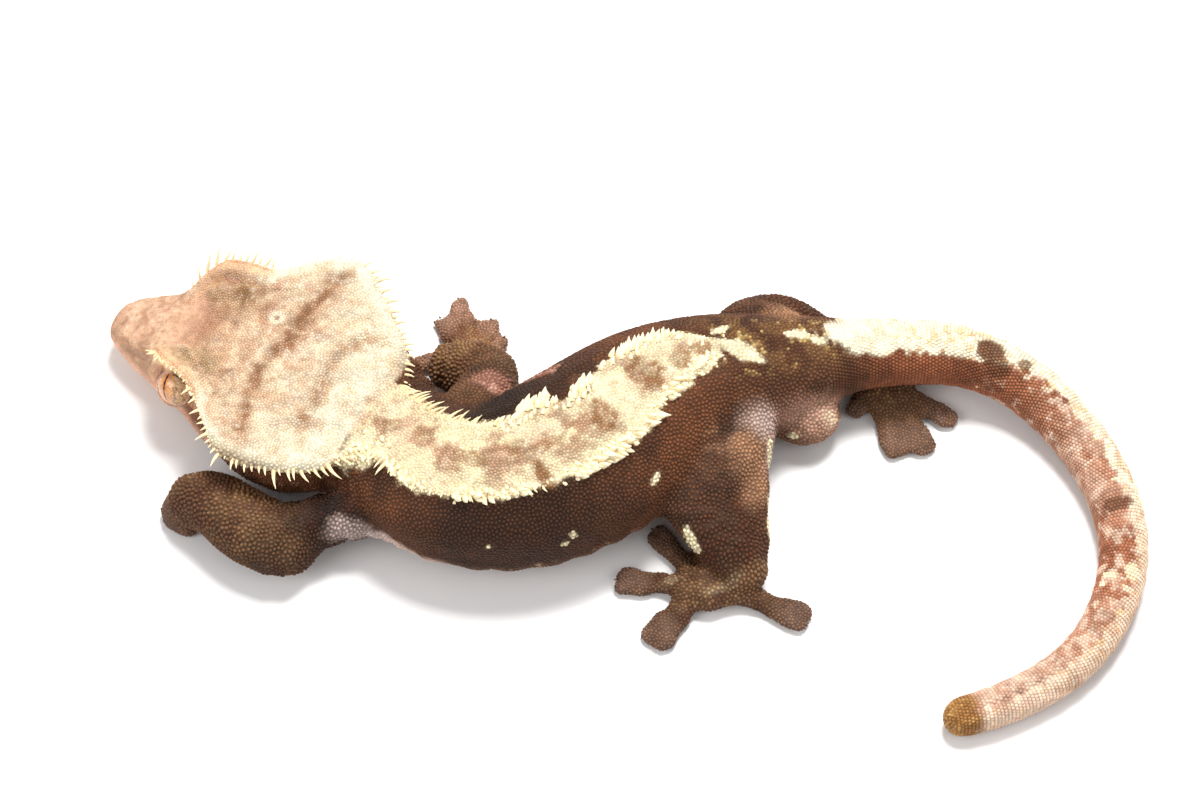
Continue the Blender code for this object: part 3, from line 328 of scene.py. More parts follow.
def body_rings(step=1.2):
    rings = []
    ends = 0.0
    for s in np.concatenate([np.arange(0, SPINE_LENGTH, step), [SPINE_LENGTH]]):
        centre, t, left, up, widths = spine_frame(s)
        out, high = body_section(widths, float(BAND_AT(s)), float(RIDGE_AT(s)))
        rings.append(centre + left * out[:, None] + np.array([0, 0, 1.0]) * high[:, None])
    # The tail ends in a blunt round tip.
    centre, t, left, up, widths = spine_frame(SPINE_LENGTH)
    for k in np.radians((25, 50, 70, 84)):
        shrink, ahead = math.cos(k), 2.3 * math.sin(k)
        out, high = body_section(widths, 3.0, 0.0)
        rings.append(centre + t * ahead + left * out[:, None] * shrink + np.array([0, 0, 1.0]) * high[:, None] * shrink)
    return rings


def limb_rings(rows, count=28, step=1.0):
    """A limb swept along its path, with rounded ends."""
    curve, length = natural(rows)
    rings = []
    stations = [(0.0, k) for k in (-80, -60, -35)] + [(s, 0.0) for s in np.arange(0, length + 1e-6, step)] + [(length, k) for k in (35, 60, 80)]
    a = np.arange(count) / count * 2 * math.pi
    for s, k in stations:
        row = curve(s)
        t = (curve(s + 0.2) - curve(s - 0.2))[:3]
        t /= np.linalg.norm(t)
        side = np.cross(t, (0, 0, 1.0))
        side /= np.linalg.norm(side)
        up = np.cross(side, t)
        k = math.radians(k)
        shrink, ahead = math.cos(k), math.sin(k) * min(row[3], row[4])
        rings.append(row[:3] + t * ahead + (side * np.cos(a)[:, None] * row[3] + up * np.sin(a)[:, None] * row[4]) * shrink)
    return rings


def toe_rings(base, tip, narrow, pad, curl=None, count=20):
    """A flat toe from the palm to a wide, blunt pad; a curled one turns under by way of its third point."""
    path = [np.array(base), np.array(tip)] if curl is None else [np.array(base), np.array(tip), np.array(curl)]
    first = path[0] + (path[0] - path[1]) * 0.35
    if curl is None:
        d = path[1] - path[0]
        path = [first, path[0], path[0] + d * 0.4, path[0] + d * 0.75, path[1]]
        path[2][2] = 1.0
    else:
        path = [first, *path]
    curve, length = natural(path)
    rings = []
    a = np.arange(count) / count * 2 * math.pi
    for u in np.concatenate([np.linspace(0, 0.9, 14), [0.95, 0.985, 1.0]]):
        s = u * length
        p = curve(s)
        t = curve(min(s + 0.15, length)) - curve(max(s - 0.15, 0))
        t /= np.linalg.norm(t)
        side = np.cross(t, (0, 0, 1.0)) if abs(t[2]) < 0.95 else np.array([0.1, 1.0, 0.0])
        side /= np.linalg.norm(side)
        up = np.cross(side, t)
        half = float(pchip(((0, narrow * 1.15), (0.35, narrow), (0.55, narrow * 1.12), (0.8, pad), (0.92, pad * 0.92), (0.97, pad * 0.72), (1, pad * 0.25)))(u))
        thick = float(pchip(((0, 1.5), (0.4, 1.15), (0.75, TOE_THICK), (0.95, 0.75), (1, 0.3)))(u))
        if curl is not None:
            thick = min(thick, 1.0)
        c, sn = np.cos(a), np.sin(a)
        rings.append(p + side * (np.sign(c) * np.abs(c) ** 0.85)[:, None] * half + up * (np.sign(sn) * np.abs(sn) ** 0.9)[:, None] * thick)
    return rings


def ellipsoid(name, centre, sizes, axes=None, segments=24):
    bm = bmesh.new()
    bmesh.ops.create_uvsphere(bm, u_segments=segments, v_segments=segments // 2, radius=1.0)
    turn = np.eye(3) if axes is None else np.array(axes).T
    m = Matrix([[*(turn[i] * np.array(sizes) * MM), centre[i] * MM] for i in range(3)] + [[0, 0, 0, 1]])
    bmesh.ops.transform(bm, matrix=m, verts=bm.verts)
    bmesh.ops.recalc_face_normals(bm, faces=bm.faces)
    return object_from(name, bm)


def cone(bm, foot, way, length, radius, sides=4):
    """A spine: a slender cone sunk a little into the skin."""
    way = np.asarray(way, float) / np.linalg.norm(way)
    made = bmesh.ops.create_cone(bm, cap_ends=True, cap_tris=False, segments=sides, radius1=radius * MM, radius2=0.12 * MM, depth=(length + 0.8) * MM)
    at = np.asarray(foot) + way * (length - 0.8) / 2
    turn = Vector((0, 0, 1)).rotation_difference(Vector(way)).to_matrix().to_4x4()
    bmesh.ops.transform(bm, matrix=Matrix.Translation(Vector(at * MM)) @ turn, verts=made["verts"])


# -------------------------------------------------------------------- crests
def crest_line(side, count):
    """Points along one crest from behind the eye, over the head's corner, to the shoulder, with outward ways."""
    sign, edge = (1, HEAD["left"]) if side == "left" else (-1, HEAD["right"])
    last = 43.0 if side == "left" else 44.0
    b = np.linspace(18.5, last, 60)
    head = head_point(b, sign * edge(b), HEAD["crest"](b) - 0.5)
    s = np.linspace(14.5 if side == "left" else 12.5, 38, 50)
    centre, t, left, up, widths = spine_frame(s)
    band = BAND_AT(s)
    half = np.where(sign > 0, widths[:, 0], widths[:, 1])
    high = widths[:, 2] * (1 - (band / half) ** 2.1) ** (1 / 2.1) + RIDGE_AT(s)
    out = sign * band + widths[:, 4] * high / widths[:, 2]
    neck = centre + left * out[:, None] + np.array([0, 0, 1.0]) * high[:, None]
    line = np.concatenate([head, neck])
    curve, length = natural(np.concatenate([head[::6], neck[::5]]))
    at = np.linspace(0, length, count)
    p = curve(at)
    along = curve(at + 0.3) - curve(at - 0.3)
    along /= np.linalg.norm(along, axis=1, keepdims=True)
    out_way = np.cross(along, (0, 0, 1.0)) * (1 if side == "left" else -1)
    out_way /= np.linalg.norm(out_way, axis=1, keepdims=True)
    return p, along, out_way, at / length


# ------------------------------------------------------------------ scene sizes
SKIN_VOXEL = 0.50          # voxel of the fused skin
COAT_DEPTH = 0.06          # the skin lies this far inside the flesh
RNG = np.random.default_rng(11)


# ------------------------------------------------------------------------ noise
def lattice(ix, iy, iz, seed):
    h = (ix * 374761393 + iy * 668265263 + iz * 1440662683 + seed * 974634777) & 0xFFFFFFFF
    h = ((h ^ (h >> 13)) * 1274126177) & 0xFFFFFFFF
    return (h ^ (h >> 16)) / 4294967295.0


def noise(p, size, seed=0):
    """Smooth noise from 0 to 1 with features of about the given size."""
    q = np.asarray(p, float) / size
    i = np.floor(q).astype(np.int64)
    f = q - i
    f = f * f * f * (f * (f * 6 - 15) + 10)
    out = 0
    for dx in (0, 1):
        for dy in (0, 1):
            for dz in (0, 1):
                w = (f[..., 0] if dx else 1 - f[..., 0]) * (f[..., 1] if dy else 1 - f[..., 1]) * (f[..., 2] if dz else 1 - f[..., 2])
                out = out + w * lattice(i[..., 0] + dx, i[..., 1] + dy, i[..., 2] + dz, seed)
    return out


def fbm(p, size, seed=0, octaves=3):
    out, total, gain = 0, 0, 1.0
    for k in range(octaves):
        out = out + gain * noise(p, size / 2 ** k, seed + 17 * k)
        total += gain
        gain *= 0.5
    return out / total


def step(x, a, b):
    t = np.clip((x - a) / (b - a), 0, 1)
    return t * t * (3 - 2 * t)


def bump(x, centre, width):
    return np.exp(-((x - centre) / width) ** 2)


def rgb(r, g, b):
    """An 8-bit display colour as linear light."""
    c = np.array([r, g, b]) / 255.0
    return np.where(c <= 0.04045, c / 12.92, ((c + 0.055) / 1.055) ** 2.4)


def blend(a, b, t):
    return a + (b - a) * np.asarray(t)[..., None]


# ---------------------------------------------------------------- body measures
SAMPLE_S = np.arange(0, SPINE_LENGTH + 0.01, 0.5)
SAMPLE_C, SAMPLE_T, SAMPLE_L, _, SAMPLE_W = spine_frame(SAMPLE_S)


def body_measures(p):
    """Distance along the spine, out to the left, height over the spine, and the depth over the body's surface."""
    near = np.empty(len(p), int)
    for a in range(0, len(p), 20000):
        q = p[a:a + 20000]
        near[a:a + 20000] = (((q[:, None, :] - SAMPLE_C[None]) ** 2) @ np.array([1, 1, 0.5])).argmin(1)
    along = ((p - SAMPLE_C[near]) * SAMPLE_T[near]).sum(1)
    s = SAMPLE_S[near] + np.clip(along, -0.5, 0.5)
    beyond = np.abs(along) - np.clip(np.abs(along), 0, 0.5)
    out = ((p - SAMPLE_C[near]) * SAMPLE_L[near]).sum(1)
    high = p[:, 2] - SAMPLE_C[near, 2]
    w = SAMPLE_W[near]
    lean = w[:, 4] * np.clip(high / w[:, 2], 0, 1)
    o = out - lean
    wide = np.where(o > 0, w[:, 0], w[:, 1])
    tall = np.where(high > 0, w[:, 2], w[:, 3])
    rho = np.sqrt((o / wide) ** 2 + (high / tall) ** 2)
    depth = (rho - 1) * np.sqrt(wide * tall) + beyond
    return s, o, high, depth, wide, tall


# How far the pale band on the back reaches to each side, by distance along the spine.
BAND_LEFT = pchip(((0, 5.4), (15.6, 4.9), (19, 5.6), (22, 6.2), (26.6, 6.3), (33, 6.6), (39, 6.9), (42.6, 6.9), (47, 6.4), (51.5, 5.1),
                   (57, 3.4), (60, 2.4), (64, 1.2), (76, 1.0)))
BAND_RIGHT = pchip(((0, 5.4), (20, 5.4), (25.2, 5.4), (31.8, 4.9), (35, 5.7), (38.8, 5.2), (40.8, 3.7), (42.8, 4.1), (45.2, 4.4), (48.5, 4.9),
                    (52.6, 4.9), (57.7, 4.4), (60, 3.0), (64, 1.5), (76, 1.0)))


def band_edge(s, o):
    s = np.clip(s, 0, 76)
    return np.where(o > 0, BAND_LEFT(s), BAND_RIGHT(s))


HEAD_AT = head_frame()


def head_measures(p):
    tip, f, left, high = HEAD_AT
    d = p - tip
    return -(d @ f), d @ left, d @ high


def head_depth(p):
    b, w, h = head_measures(p)
    bb = np.clip(b, 0, 48)
    edge = np.where(w > 0, HEAD["left"](bb), HEAD["right"](bb))
    cheek = np.maximum(HEAD["cheek"](bb), 0.5)
    top, chin, crest = HEAD["top"](bb), HEAD["chin"](bb), HEAD["crest"](bb)
    mid = (top + chin) / 2
    wide = np.where(h > crest - 2.5, edge, cheek)
    rho = np.sqrt((w / wide) ** 2 + ((h - mid) / ((top - chin) / 2 + 0.8)) ** 2)
    d = (rho - 1) * wide
    return np.where(b > 46.0, d + (b - 46.0), d + np.clip(-b, 0, None))


def path_depth(p, rows):
    """Depth over a limb, and how far along it the point lies, from 0 to 1."""
    curve, length = natural(rows)
    s = np.linspace(0, length, max(int(length / 0.5), 4))
    c = curve(s)
    d = np.linalg.norm(p[:, None] - c[None, :, :3], axis=2) - (c[:, 3] + c[:, 4])[None] / 2
    i = d.argmin(1)
    return d[np.arange(len(p)), i], s[i] / length


LIMBS = {"upper_arm_left": UPPER_ARM_L, "forearm_left": FOREARM_L, "upper_arm_right": UPPER_ARM_R, "forearm_right": FOREARM_R,
         "thigh_left": THIGH_L, "shank_left": SHANK_L, "web_left": WEB_L, "thigh_right": THIGH_R, "shank_right": SHANK_R}
FOOT_NAMES = {"hand_l": "hand_left", "hand_r": "hand_right", "foot_l": "foot_left", "foot_r": "foot_right"}
REGIONS = ["head", "body", *LIMBS, *FOOT_NAMES.values()]


def foot_depth(p, key):
    palm, toes = FEET[key]
    c, size = np.array(palm[:3]), np.array(palm[3:])
    d = (np.linalg.norm((p - c) / size, axis=1) - 1) * size.min()
    toe = np.zeros(len(p), int)
    along = np.zeros(len(p))
    for k, (base, tip, narrow, pad, curl) in enumerate(toes):
        a, b = np.array(base), np.array(tip)
        u = np.clip(((p - a) @ (b - a)) / ((b - a) @ (b - a)), 0, 1)
        r = narrow + (pad - narrow) * np.clip(u * 1.4, 0, 1)
        q = p - (a + u[:, None] * (b - a))
        dd = np.sqrt((np.hypot(q[:, 0], q[:, 1]) / r) ** 2 + (q[:, 2] / 1.1) ** 2) * r - r
        closer = dd < d
        d = np.where(closer, dd, d)
        toe = np.where(closer, k + 1, toe)
        along = np.where(closer, u, along)
    return d, toe, along


def regions(p):
    """What each point belongs to: for every region a share, and measures along it."""
    s, o, high, body_d, wide, tall = body_measures(p)
    b, w, h = head_measures(p)
    depth = {"head": head_depth(p), "body": body_d}
    along = {}
    for name, rows in LIMBS.items():
        depth[name], along[name] = path_depth(p, rows)
    toes = {}
    for key, name in FOOT_NAMES.items():
        d, toe, u = foot_depth(p, key)
        depth[name], toes[name] = d, (toe, u)
    d = np.stack([depth[name] for name in REGIONS], 1)
    d = np.where(d < -2.0, -2.0 + (d + 2.0) * 0.1, d)
    # On the head's side of the neck the head owns the point, and past it the trunk does.
    d[:, 0] += 30 * step(b, 42.5, 46.5) + 30 * step(-h, 9, 12)
    d[:, 1] += 30 * step(41.5 - b, 0, 4) * (np.abs(w) < 26) * (b > -5)
    share = np.exp(-np.clip(d - d.min(1, keepdims=True), 0, 12) / 0.55)
    share /= share.sum(1, keepdims=True)
    return {"share": share, "s": s, "o": o, "high": high, "wide": wide, "tall": tall, "b": b, "w": w, "h": h, "along": along, "toes": toes}


# ------------------------------------------------------------------ mesh making
def read_mesh(mesh):
    co = np.empty(len(mesh.vertices) * 3, np.float32)
    mesh.vertices.foreach_get("co", co)
    return co.reshape(-1, 3).astype(float) * 1000.0


def read_faces(mesh):
    start = np.empty(len(mesh.polygons), np.int32)
    total = np.empty(len(mesh.polygons), np.int32)
    corner = np.empty(len(mesh.loops), np.int32)
    mesh.polygons.foreach_get("loop_start", start)
    mesh.polygons.foreach_get("loop_total", total)
    mesh.loops.foreach_get("vertex_index", corner)
    return start, total, corner


def piece(name, points, loops, totals, colour=None, uv=None, smooth=True, extra=None):
    """A mesh object from numpy arrays, moved from the body's frame into the scene's."""
    mesh = bpy.data.meshes.new(name)
    co = ((np.asarray(points) + np.array(SHIFT)) * MM).astype(np.float32)
    loops, totals = np.asarray(loops, np.int32), np.asarray(totals, np.int32)
    mesh.vertices.add(len(co))
    mesh.vertices.foreach_set("co", co.ravel())
    mesh.loops.add(len(loops))
    mesh.loops.foreach_set("vertex_index", loops)
    mesh.polygons.add(len(totals))
    mesh.polygons.foreach_set("loop_start", np.concatenate([[0], np.cumsum(totals)[:-1]]).astype(np.int32))
    mesh.polygons.foreach_set("loop_total", totals)
    mesh.polygons.foreach_set("use_smooth", np.full(len(totals), smooth))
    mesh.update(calc_edges=True)
    if colour is not None:
        attribute = mesh.color_attributes.new("Col", "FLOAT_COLOR", "POINT")
        rgba = np.concatenate([np.clip(colour, 0, 1), np.ones((len(co), 1))], 1).astype(np.float32)
        attribute.data.foreach_set("color", rgba.ravel())
    for key, values in (extra or {}).items():
        attribute = mesh.attributes.new(key, "FLOAT", "POINT")
        attribute.data.foreach_set("value", np.asarray(values, np.float32))
    if uv is not None:
        layer = mesh.uv_layers.new(name="OFBake")
        layer.data.foreach_set("uv", np.asarray(uv, np.float32).ravel())
    mesh.validate(clean_customdata=False)
    obj = bpy.data.objects.new(name, mesh)
    bpy.context.scene.collection.objects.link(obj)
    return obj


def smooth_points(co, edges, times, factor=0.5, weight=None):
    n = len(co)
    degree = np.bincount(edges.ravel(), minlength=n)[:, None]
    for _ in range(times):
        total = np.zeros_like(co)
        for k in range(3):
            total[:, k] = np.bincount(edges[:, 0], co[edges[:, 1], k], n) + np.bincount(edges[:, 1], co[edges[:, 0], k], n)
        move = (total / np.maximum(degree, 1) - co) * factor
        co = co + (move if weight is None else move * weight[:, None])
    return co


def vertex_normals(co, start, total, corner):
    """Area-weighted vertex normals, each face fanned from its first corner."""
    normal = np.zeros_like(co)
    first = corner[start]
    for k in range(1, int(total.max()) - 1):
        ok = total > k + 1
        a, b, c = first[ok], corner[start[ok] + k], corner[start[ok] + k + 1]
        n = np.cross(co[b] - co[a], co[c] - co[a])
        for i in (a, b, c):
            for d in range(3):
                normal[:, d] += np.bincount(i, n[:, d], len(co))
    return normal / np.maximum(np.linalg.norm(normal, axis=1, keepdims=True), 1e-12)


def near_pairs(p, reach):
    """Pairs (i, j), i < j, closer than reach, found on a grid."""
    cell = np.floor((p - p.min(0)) / reach).astype(np.int64) + 1
    size = cell.max(0) + 2
    key = (cell[:, 0] * size[1] + cell[:, 1]) * size[2] + cell[:, 2]
    order = np.argsort(key, kind="stable")
    sorted_key = key[order]
    found = []
    for dx in (-1, 0, 1):
        for dy in (-1, 0, 1):
            for dz in (-1, 0, 1):
                shift = (dx * size[1] + dy) * size[2] + dz
                if shift < 0:
                    continue
                lo = np.searchsorted(sorted_key, key + shift, "left")
                hi = np.searchsorted(sorted_key, key + shift, "right")
                n = hi - lo
                i = np.repeat(np.arange(len(p)), n)
                j = order[np.repeat(lo, n) + np.arange(n.sum()) - np.repeat(np.cumsum(n) - n, n)]
                if shift == 0:
                    keep = i < j
                    i, j = i[keep], j[keep]
                d = np.linalg.norm(p[i] - p[j], axis=1)
                keep = d < reach
                found.append(np.stack([i[keep], j[keep], d[keep]], 1))
    found = np.concatenate(found)
    return found[:, 0].astype(int), found[:, 1].astype(int), found[:, 2]


# ------------------------------------------------------------------------- skin
MOUTH = pchip(((-1, -0.9), (0, -0.95), (2, -1.25), (6, -1.75), (11, -2.15), (16, -2.45), (19, -2.35), (22, -1.9)))
EAR_AT = (30.5, 0.6)                 # back, up
NOSTRIL_AT = (1.5, 1.95, 0.75)       # back, out, up
# Folds across the head, with stains and painted furrow shade along them, as (back, out).
BAND_A = ((29.6, -15.5), (27.9, -12.6), (27.6, -7.5), (27.1, -1.8), (26.1, 1.8), (25.4, 3.8), (26.3, 8.9), (27.6, 13.2))
BAND_B = ((36.6, -7.6), (35.1, -5.0), (34.6, -0.7), (34.9, 4.6), (35.3, 8.6))
BAND_C = ((40.8, -2.0), (41.6, 1.6), (41.6, 4.4), (42.2, 6.9))
EYE_AXIS = np.array([0.07, 0.745, 0.663])     # forward, outward, up: the way the opening faces
GAZE = np.array([0.30, 0.64, 0.71])           # the way the pupil looks
APERTURE = 44.0                      # half angle of the eye's opening, degrees
BALL = 3.15                          # radius of the eyeball


def stroke(b, w, path):
    """Distance of each point of the head from a line on it."""
    out = np.full(len(b), 99.0)
    for (b0, w0), (b1, w1) in zip(path[:-1], path[1:]):
        db, dw = b1 - b0, w1 - w0
        t = np.clip(((b - b0) * db + (w - w0) * dw) / (db * db + dw * dw), 0, 1)
        out = np.minimum(out, np.hypot(b - b0 - t * db, w - w0 - t * dw))
    return out


def fused_flesh():
    """The whole body's surface, from the solids' own lofts."""
    pieces = [loft_mesh("head_loft", head_rings()), loft_mesh("body_loft", body_rings())]
    for rows in LIMBS.values():
        pieces.append(loft_mesh("limb_loft", limb_rings(rows)))
    for palm, toes in FEET.values():
        pieces.append(ellipsoid("palm", palm[:3], palm[3:]))
        for base, tip, narrow, pad, curl in toes:
            pieces.append(loft_mesh("toe", toe_rings(base, tip, narrow, pad, curl)))
    for x, y, z, a, b, c in BULGES:
        pieces.append(ellipsoid("bulge", (x, y, z), (a, b, c)))
    _, f, left, high = HEAD_AT
    for sign in (1, -1):
        b, w, h = ORBIT_AT
        pieces.append(ellipsoid("orbit", head_point(b, sign * w, h), ORBIT_SIZE, axes=(f, left, high)))
    bm = bmesh.new()
    for part in pieces:
        bm.from_mesh(part.data)
        mesh = part.data
        bpy.data.objects.remove(part, do_unlink=True)
        bpy.data.meshes.remove(mesh)
    whole = object_from("flesh", bm)
    bpy.context.scene.collection.objects.link(whole)
    mod = whole.modifiers.new("remesh", "REMESH")
    mod.mode = "VOXEL"
    mod.voxel_size = SKIN_VOXEL * MM
    bpy.context.view_layer.update()
    graph = bpy.context.evaluated_depsgraph_get()
    mesh = bpy.data.meshes.new_from_object(whole.evaluated_get(graph))
    old = whole.data
    bpy.data.objects.remove(whole, do_unlink=True)
    bpy.data.meshes.remove(old)
    return mesh


def refined(mesh, chosen):
    """The mesh with every face whose corners are all chosen split in four."""
    bm = bmesh.new()
    bm.from_mesh(mesh)
    bm.verts.ensure_lookup_table()
    edges = [e for e in bm.edges if chosen[e.verts[0].index] and chosen[e.verts[1].index]]
    bmesh.ops.subdivide_edges(bm, edges=edges, cuts=1, use_grid_fill=True)
    bm.to_mesh(mesh)
    bm.free()


def eye_frame(sign, facing=EYE_AXIS):
    """Centre, the way the eye looks, the pupil's long way, and the third."""
    _, f, left, high = HEAD_AT
    b, w, h = EYE_AT
    centre = head_point(b, sign * w, h)
    axis = f * facing[0] + left * sign * facing[1] + high * facing[2]
    axis /= np.linalg.norm(axis)
    tall = high - axis * (high @ axis)
    tall /= np.linalg.norm(tall)
    wide = np.cross(tall, axis)
    return centre, axis, tall, wide


def lid_measures(p, sign):
    """Way and distance from the eye's centre, and the angle past the rim of its opening, which reaches lower and farther back."""
    centre, axis, tall_way, wide_way = eye_frame(sign)
    d = p - centre
    rho = np.linalg.norm(d, axis=1)
    angle = np.degrees(np.arccos(np.clip((d @ axis) / np.maximum(rho, 1e-6), -1, 1)))
    turn = np.arctan2(d @ tall_way, (d @ wide_way) * sign)
    return d, rho, angle - (APERTURE + 6.0 * np.cos(turn) - 6.0 * np.sin(turn))


def brow_line(b, w):
    """How far inside the brow's edge a point of the head lies."""
    bb = np.clip(b, 0, 48)
    return np.where(w > 0, HEAD["left"](bb), HEAD["right"](bb)) - np.abs(w)


def sculpt(co, n):
    """Moves the skin's points: domes over the eyes, lids, mouth, nostrils, ears, folds, pads and the tail's groove."""
    b, w, h = head_measures(co)
    s, o, high, deep, wide, tall = body_measures(co)
    on_head = (head_depth(co) < 1.6) & (b < 47)
    _, f, left, up = HEAD_AT
    move = np.zeros(len(co))
    side = np.abs(w)
    top = HEAD["top"](np.clip(b, 0, 48))
    over = on_head & (h > top - 2.6)
    # The top of the head: a dome over each eye, a hollow between them, low swells behind.
    dome = np.exp(-((b - 15.2) / 3.6) ** 2 - ((side - 6.6) / 2.7) ** 2)
    hollow = np.exp(-((b - 16.0) / 6.0) ** 2 - (w / 2.6) ** 2)
    snout = np.exp(-((b - 5.5) / 4.0) ** 2 - (w / 1.6) ** 2)
    rear = np.exp(-((b - 30.0) / 6.0) ** 2 - ((side - 8.5) / 4.0) ** 2)
    rim = np.where(w > 0, HEAD["left"](np.clip(b, 0, 48)), HEAD["right"](np.clip(b, 0, 48))) - side
    crest_rim = step(b, 17, 22) * (0.30 * np.exp(-((rim - 1.0) / 0.8) ** 2) - 0.45 * np.exp(-((rim - 4.2) / 2.0) ** 2))
    warp = 1.4 * (fbm(co, 2.6, 33) - 0.5)
    wrinkle = (0.50 * np.exp(-(stroke(b + warp, w, BAND_A) / 0.75) ** 2) + 0.42 * np.exp(-(stroke(b + warp, w, BAND_B) / 0.8) ** 2)
               + 0.34 * np.exp(-(stroke(b + warp, w, BAND_C) / 0.8) ** 2)
               - 0.22 * np.exp(-(stroke(b + 1.7, w, BAND_A) / 0.9) ** 2) - 0.18 * np.exp(-(stroke(b + 1.7, w, BAND_B) / 0.9) ** 2))
    ripple = 0.16 * step(b, 24, 30) * step(46 - b, 0, 4) * np.sin((w * 0.9 + 0.5 * b + 3.0 * fbm(co, 4.0, 34)) * 2 * math.pi / 3.6)
    move += np.where(over, 1.15 * dome - 0.42 * hollow + 0.14 * snout + 0.32 * rear + crest_rim - wrinkle + ripple * (rim > 1.5), 0)
    inside = brow_line(b, w)
    crease = np.exp(-((inside - 0.95) / 0.28) ** 2) * step(b, 10.4, 11.6) * step(21 - b, 0, 1.5) * (h > HEAD["crest"](np.clip(b, 0, 48)) - 2.0)
    move -= np.where(on_head, 0.24 * crease, 0)
    groove = np.exp(-((b - 11.2 - 0.15 * side) / 1.3) ** 2) * np.exp(-((side - 5.8) / 2.6) ** 2)
    move -= np.where(over, 0.18 * groove, 0)
    move += np.where(on_head, 0.34 * (fbm(co, 4.5, 31) - 0.5) + 0.20 * (fbm(co, 1.9, 32) - 0.5), 0)
    # The mouth, with a soft lip above and below it.
    line = np.abs(h - MOUTH(np.clip(b, -1, 22)))
    along = step(22.5 - b, 0, 2.5) * on_head
    move -= along * 0.34 * np.exp(-(line / 0.27) ** 2)
    move += along * 0.13 * np.exp(-((line - 0.75) / 0.45) ** 2)
    # Nostrils and ears.
    nb, nw, nh = NOSTRIL_AT
    pit = np.sqrt(((b - nb) / 0.42) ** 2 + ((side - nw) / 0.45) ** 2 + ((h - nh) / 0.36) ** 2)
    move += np.where(on_head, 0.16 * np.exp(-((pit - 1.5) / 0.5) ** 2) - 0.55 * np.exp(-pit ** 2), 0)
    eb, eh = EAR_AT
    ear = np.sqrt(((b - eb) / 1.0) ** 2 + ((h - eh - 0.25 * (b - eb)) / 0.55) ** 2)
    flank_side = on_head & (h < HEAD["crest"](np.clip(b, 0, 48)) - 3)
    move += np.where(flank_side, 0.2 * np.exp(-((ear - 1.5) / 0.5) ** 2) - 0.9 * np.exp(-ear ** 2), 0)
    # Folds behind the jaw, under the crest and round the neck.
    neck = step(b, 35, 40) * step(52 - b, 0, 5) * (h < HEAD["crest"](np.clip(b, 0, 48)) - 1.5)
    fold = np.sin((b + 0.35 * h + 2.4 * fbm(co, 5.0, 3)) * 2 * math.pi / 2.9)
    move += 0.22 * neck * fold
    jaw = step(b, 22, 25) * step(36 - b, 0, 4) * np.exp(-((h + 3.0) / 1.6) ** 2) * on_head
    move += 0.16 * jaw * np.sin((h * 1.2 + 0.2 * b + 1.5 * fbm(co, 4.0, 9)) * 2 * math.pi / 1.9)
    # Folds where limbs meet the trunk and on the flank, and slack skin over the limbs.
    def crumple(at, reach, way, wave, height, seed):
        d = co - np.array(at)
        fade = np.exp(-(np.linalg.norm(d, axis=1) / reach) ** 2)
        way = np.array(way, float) / np.linalg.norm(way)
        return height * fade * np.sin((d @ way + 1.6 * (fbm(co, 3.5, seed) - 0.5)) * 2 * math.pi / wave)
    move += crumple((-33.0, -13.5, 6.0), 5.0, (1, 0.2, 0.1), 1.7, 0.20, 41)
    move += crumple((-25.5, -17.0, 4.0), 5.5, (0.9, -0.5, 0.2), 1.9, 0.17, 42)
    move += crumple((-14.0, 1.0, 9.0), 4.5, (0.6, 0.8, 0.2), 1.5, 0.24, 43)
    move += crumple((12.5, -9.0, 8.0), 5.5, (0.8, -0.4, 0.5), 2.1, 0.22, 44)
    move += crumple((21.0, -7.5, 7.5), 5.0, (1.0, 0.2, 0.0), 1.8, 0.20, 45)
    move += crumple((17.0, -18.0, 6.0), 5.5, (0.3, 1.0, 0.3), 2.0, 0.16, 46)
    move += crumple((23.5, 11.5, 9.0), 5.0, (0.8, 0.6, 0.0), 1.9, 0.16, 47)
    move += crumple((-42.0, -18.5, 6.5), 4.5, (1.0, 0.4, 0.0), 1.6, 0.18, 48)
    trunk = step(s, 14, 22) * step(64 - s, 0, 8) * step(deep + 1.5, 0, 0.8)
    under = step(2.0 - high, 0, 5)
    move += trunk * under * 0.14 * np.sin((s + 2.0 * fbm(co, 6.0, 12)) * 2 * math.pi / 3.4)
    # The back's pale band stands a little proud, with a lumpy surface.
    inside = band_edge(s, o) - np.abs(o)
    on_back = step(s, 4, 14) * step(66 - s, 0, 6) * step(inside + 0.3, 0, 0.9) * (high > 2)
    move += on_back * (0.10 + 0.42 * (fbm(co, 2.4, 21) - 0.45) + 0.16 * np.exp(-((inside - 0.6) / 0.7) ** 2))
    move += step(s, 60, 66) * step(82 - s, 0, 3) * (high > 2) * 0.22 * (fbm(co, 2.2, 22) - 0.45)
    # The tail: fine waists and, at its end, a groove along the top.
    tail = step(s, 82, 90)
    move += tail * 0.05 * np.sin(s * 2 * math.pi / 3.1 + 2 * fbm(co, 5.0, 8))
    groove = step(s, 154, 160) * step(170.5 - s, 0, 2) * (high > 0.5)
    move -= groove * 0.42 * np.exp(-((o + 0.25) / 0.32) ** 2)
    # The cloacal swelling: its crease.
    d = co - np.array([28.0, 0.9, 4.6])
    move += 0.14 * np.exp(-(np.linalg.norm(d, axis=1) / 6.0) ** 2) * np.sin((d[:, 0] * 0.8 + d[:, 2] + fbm(co, 3, 51)) * 2 * math.pi / 2.3)
    co = co + n * move[:, None]
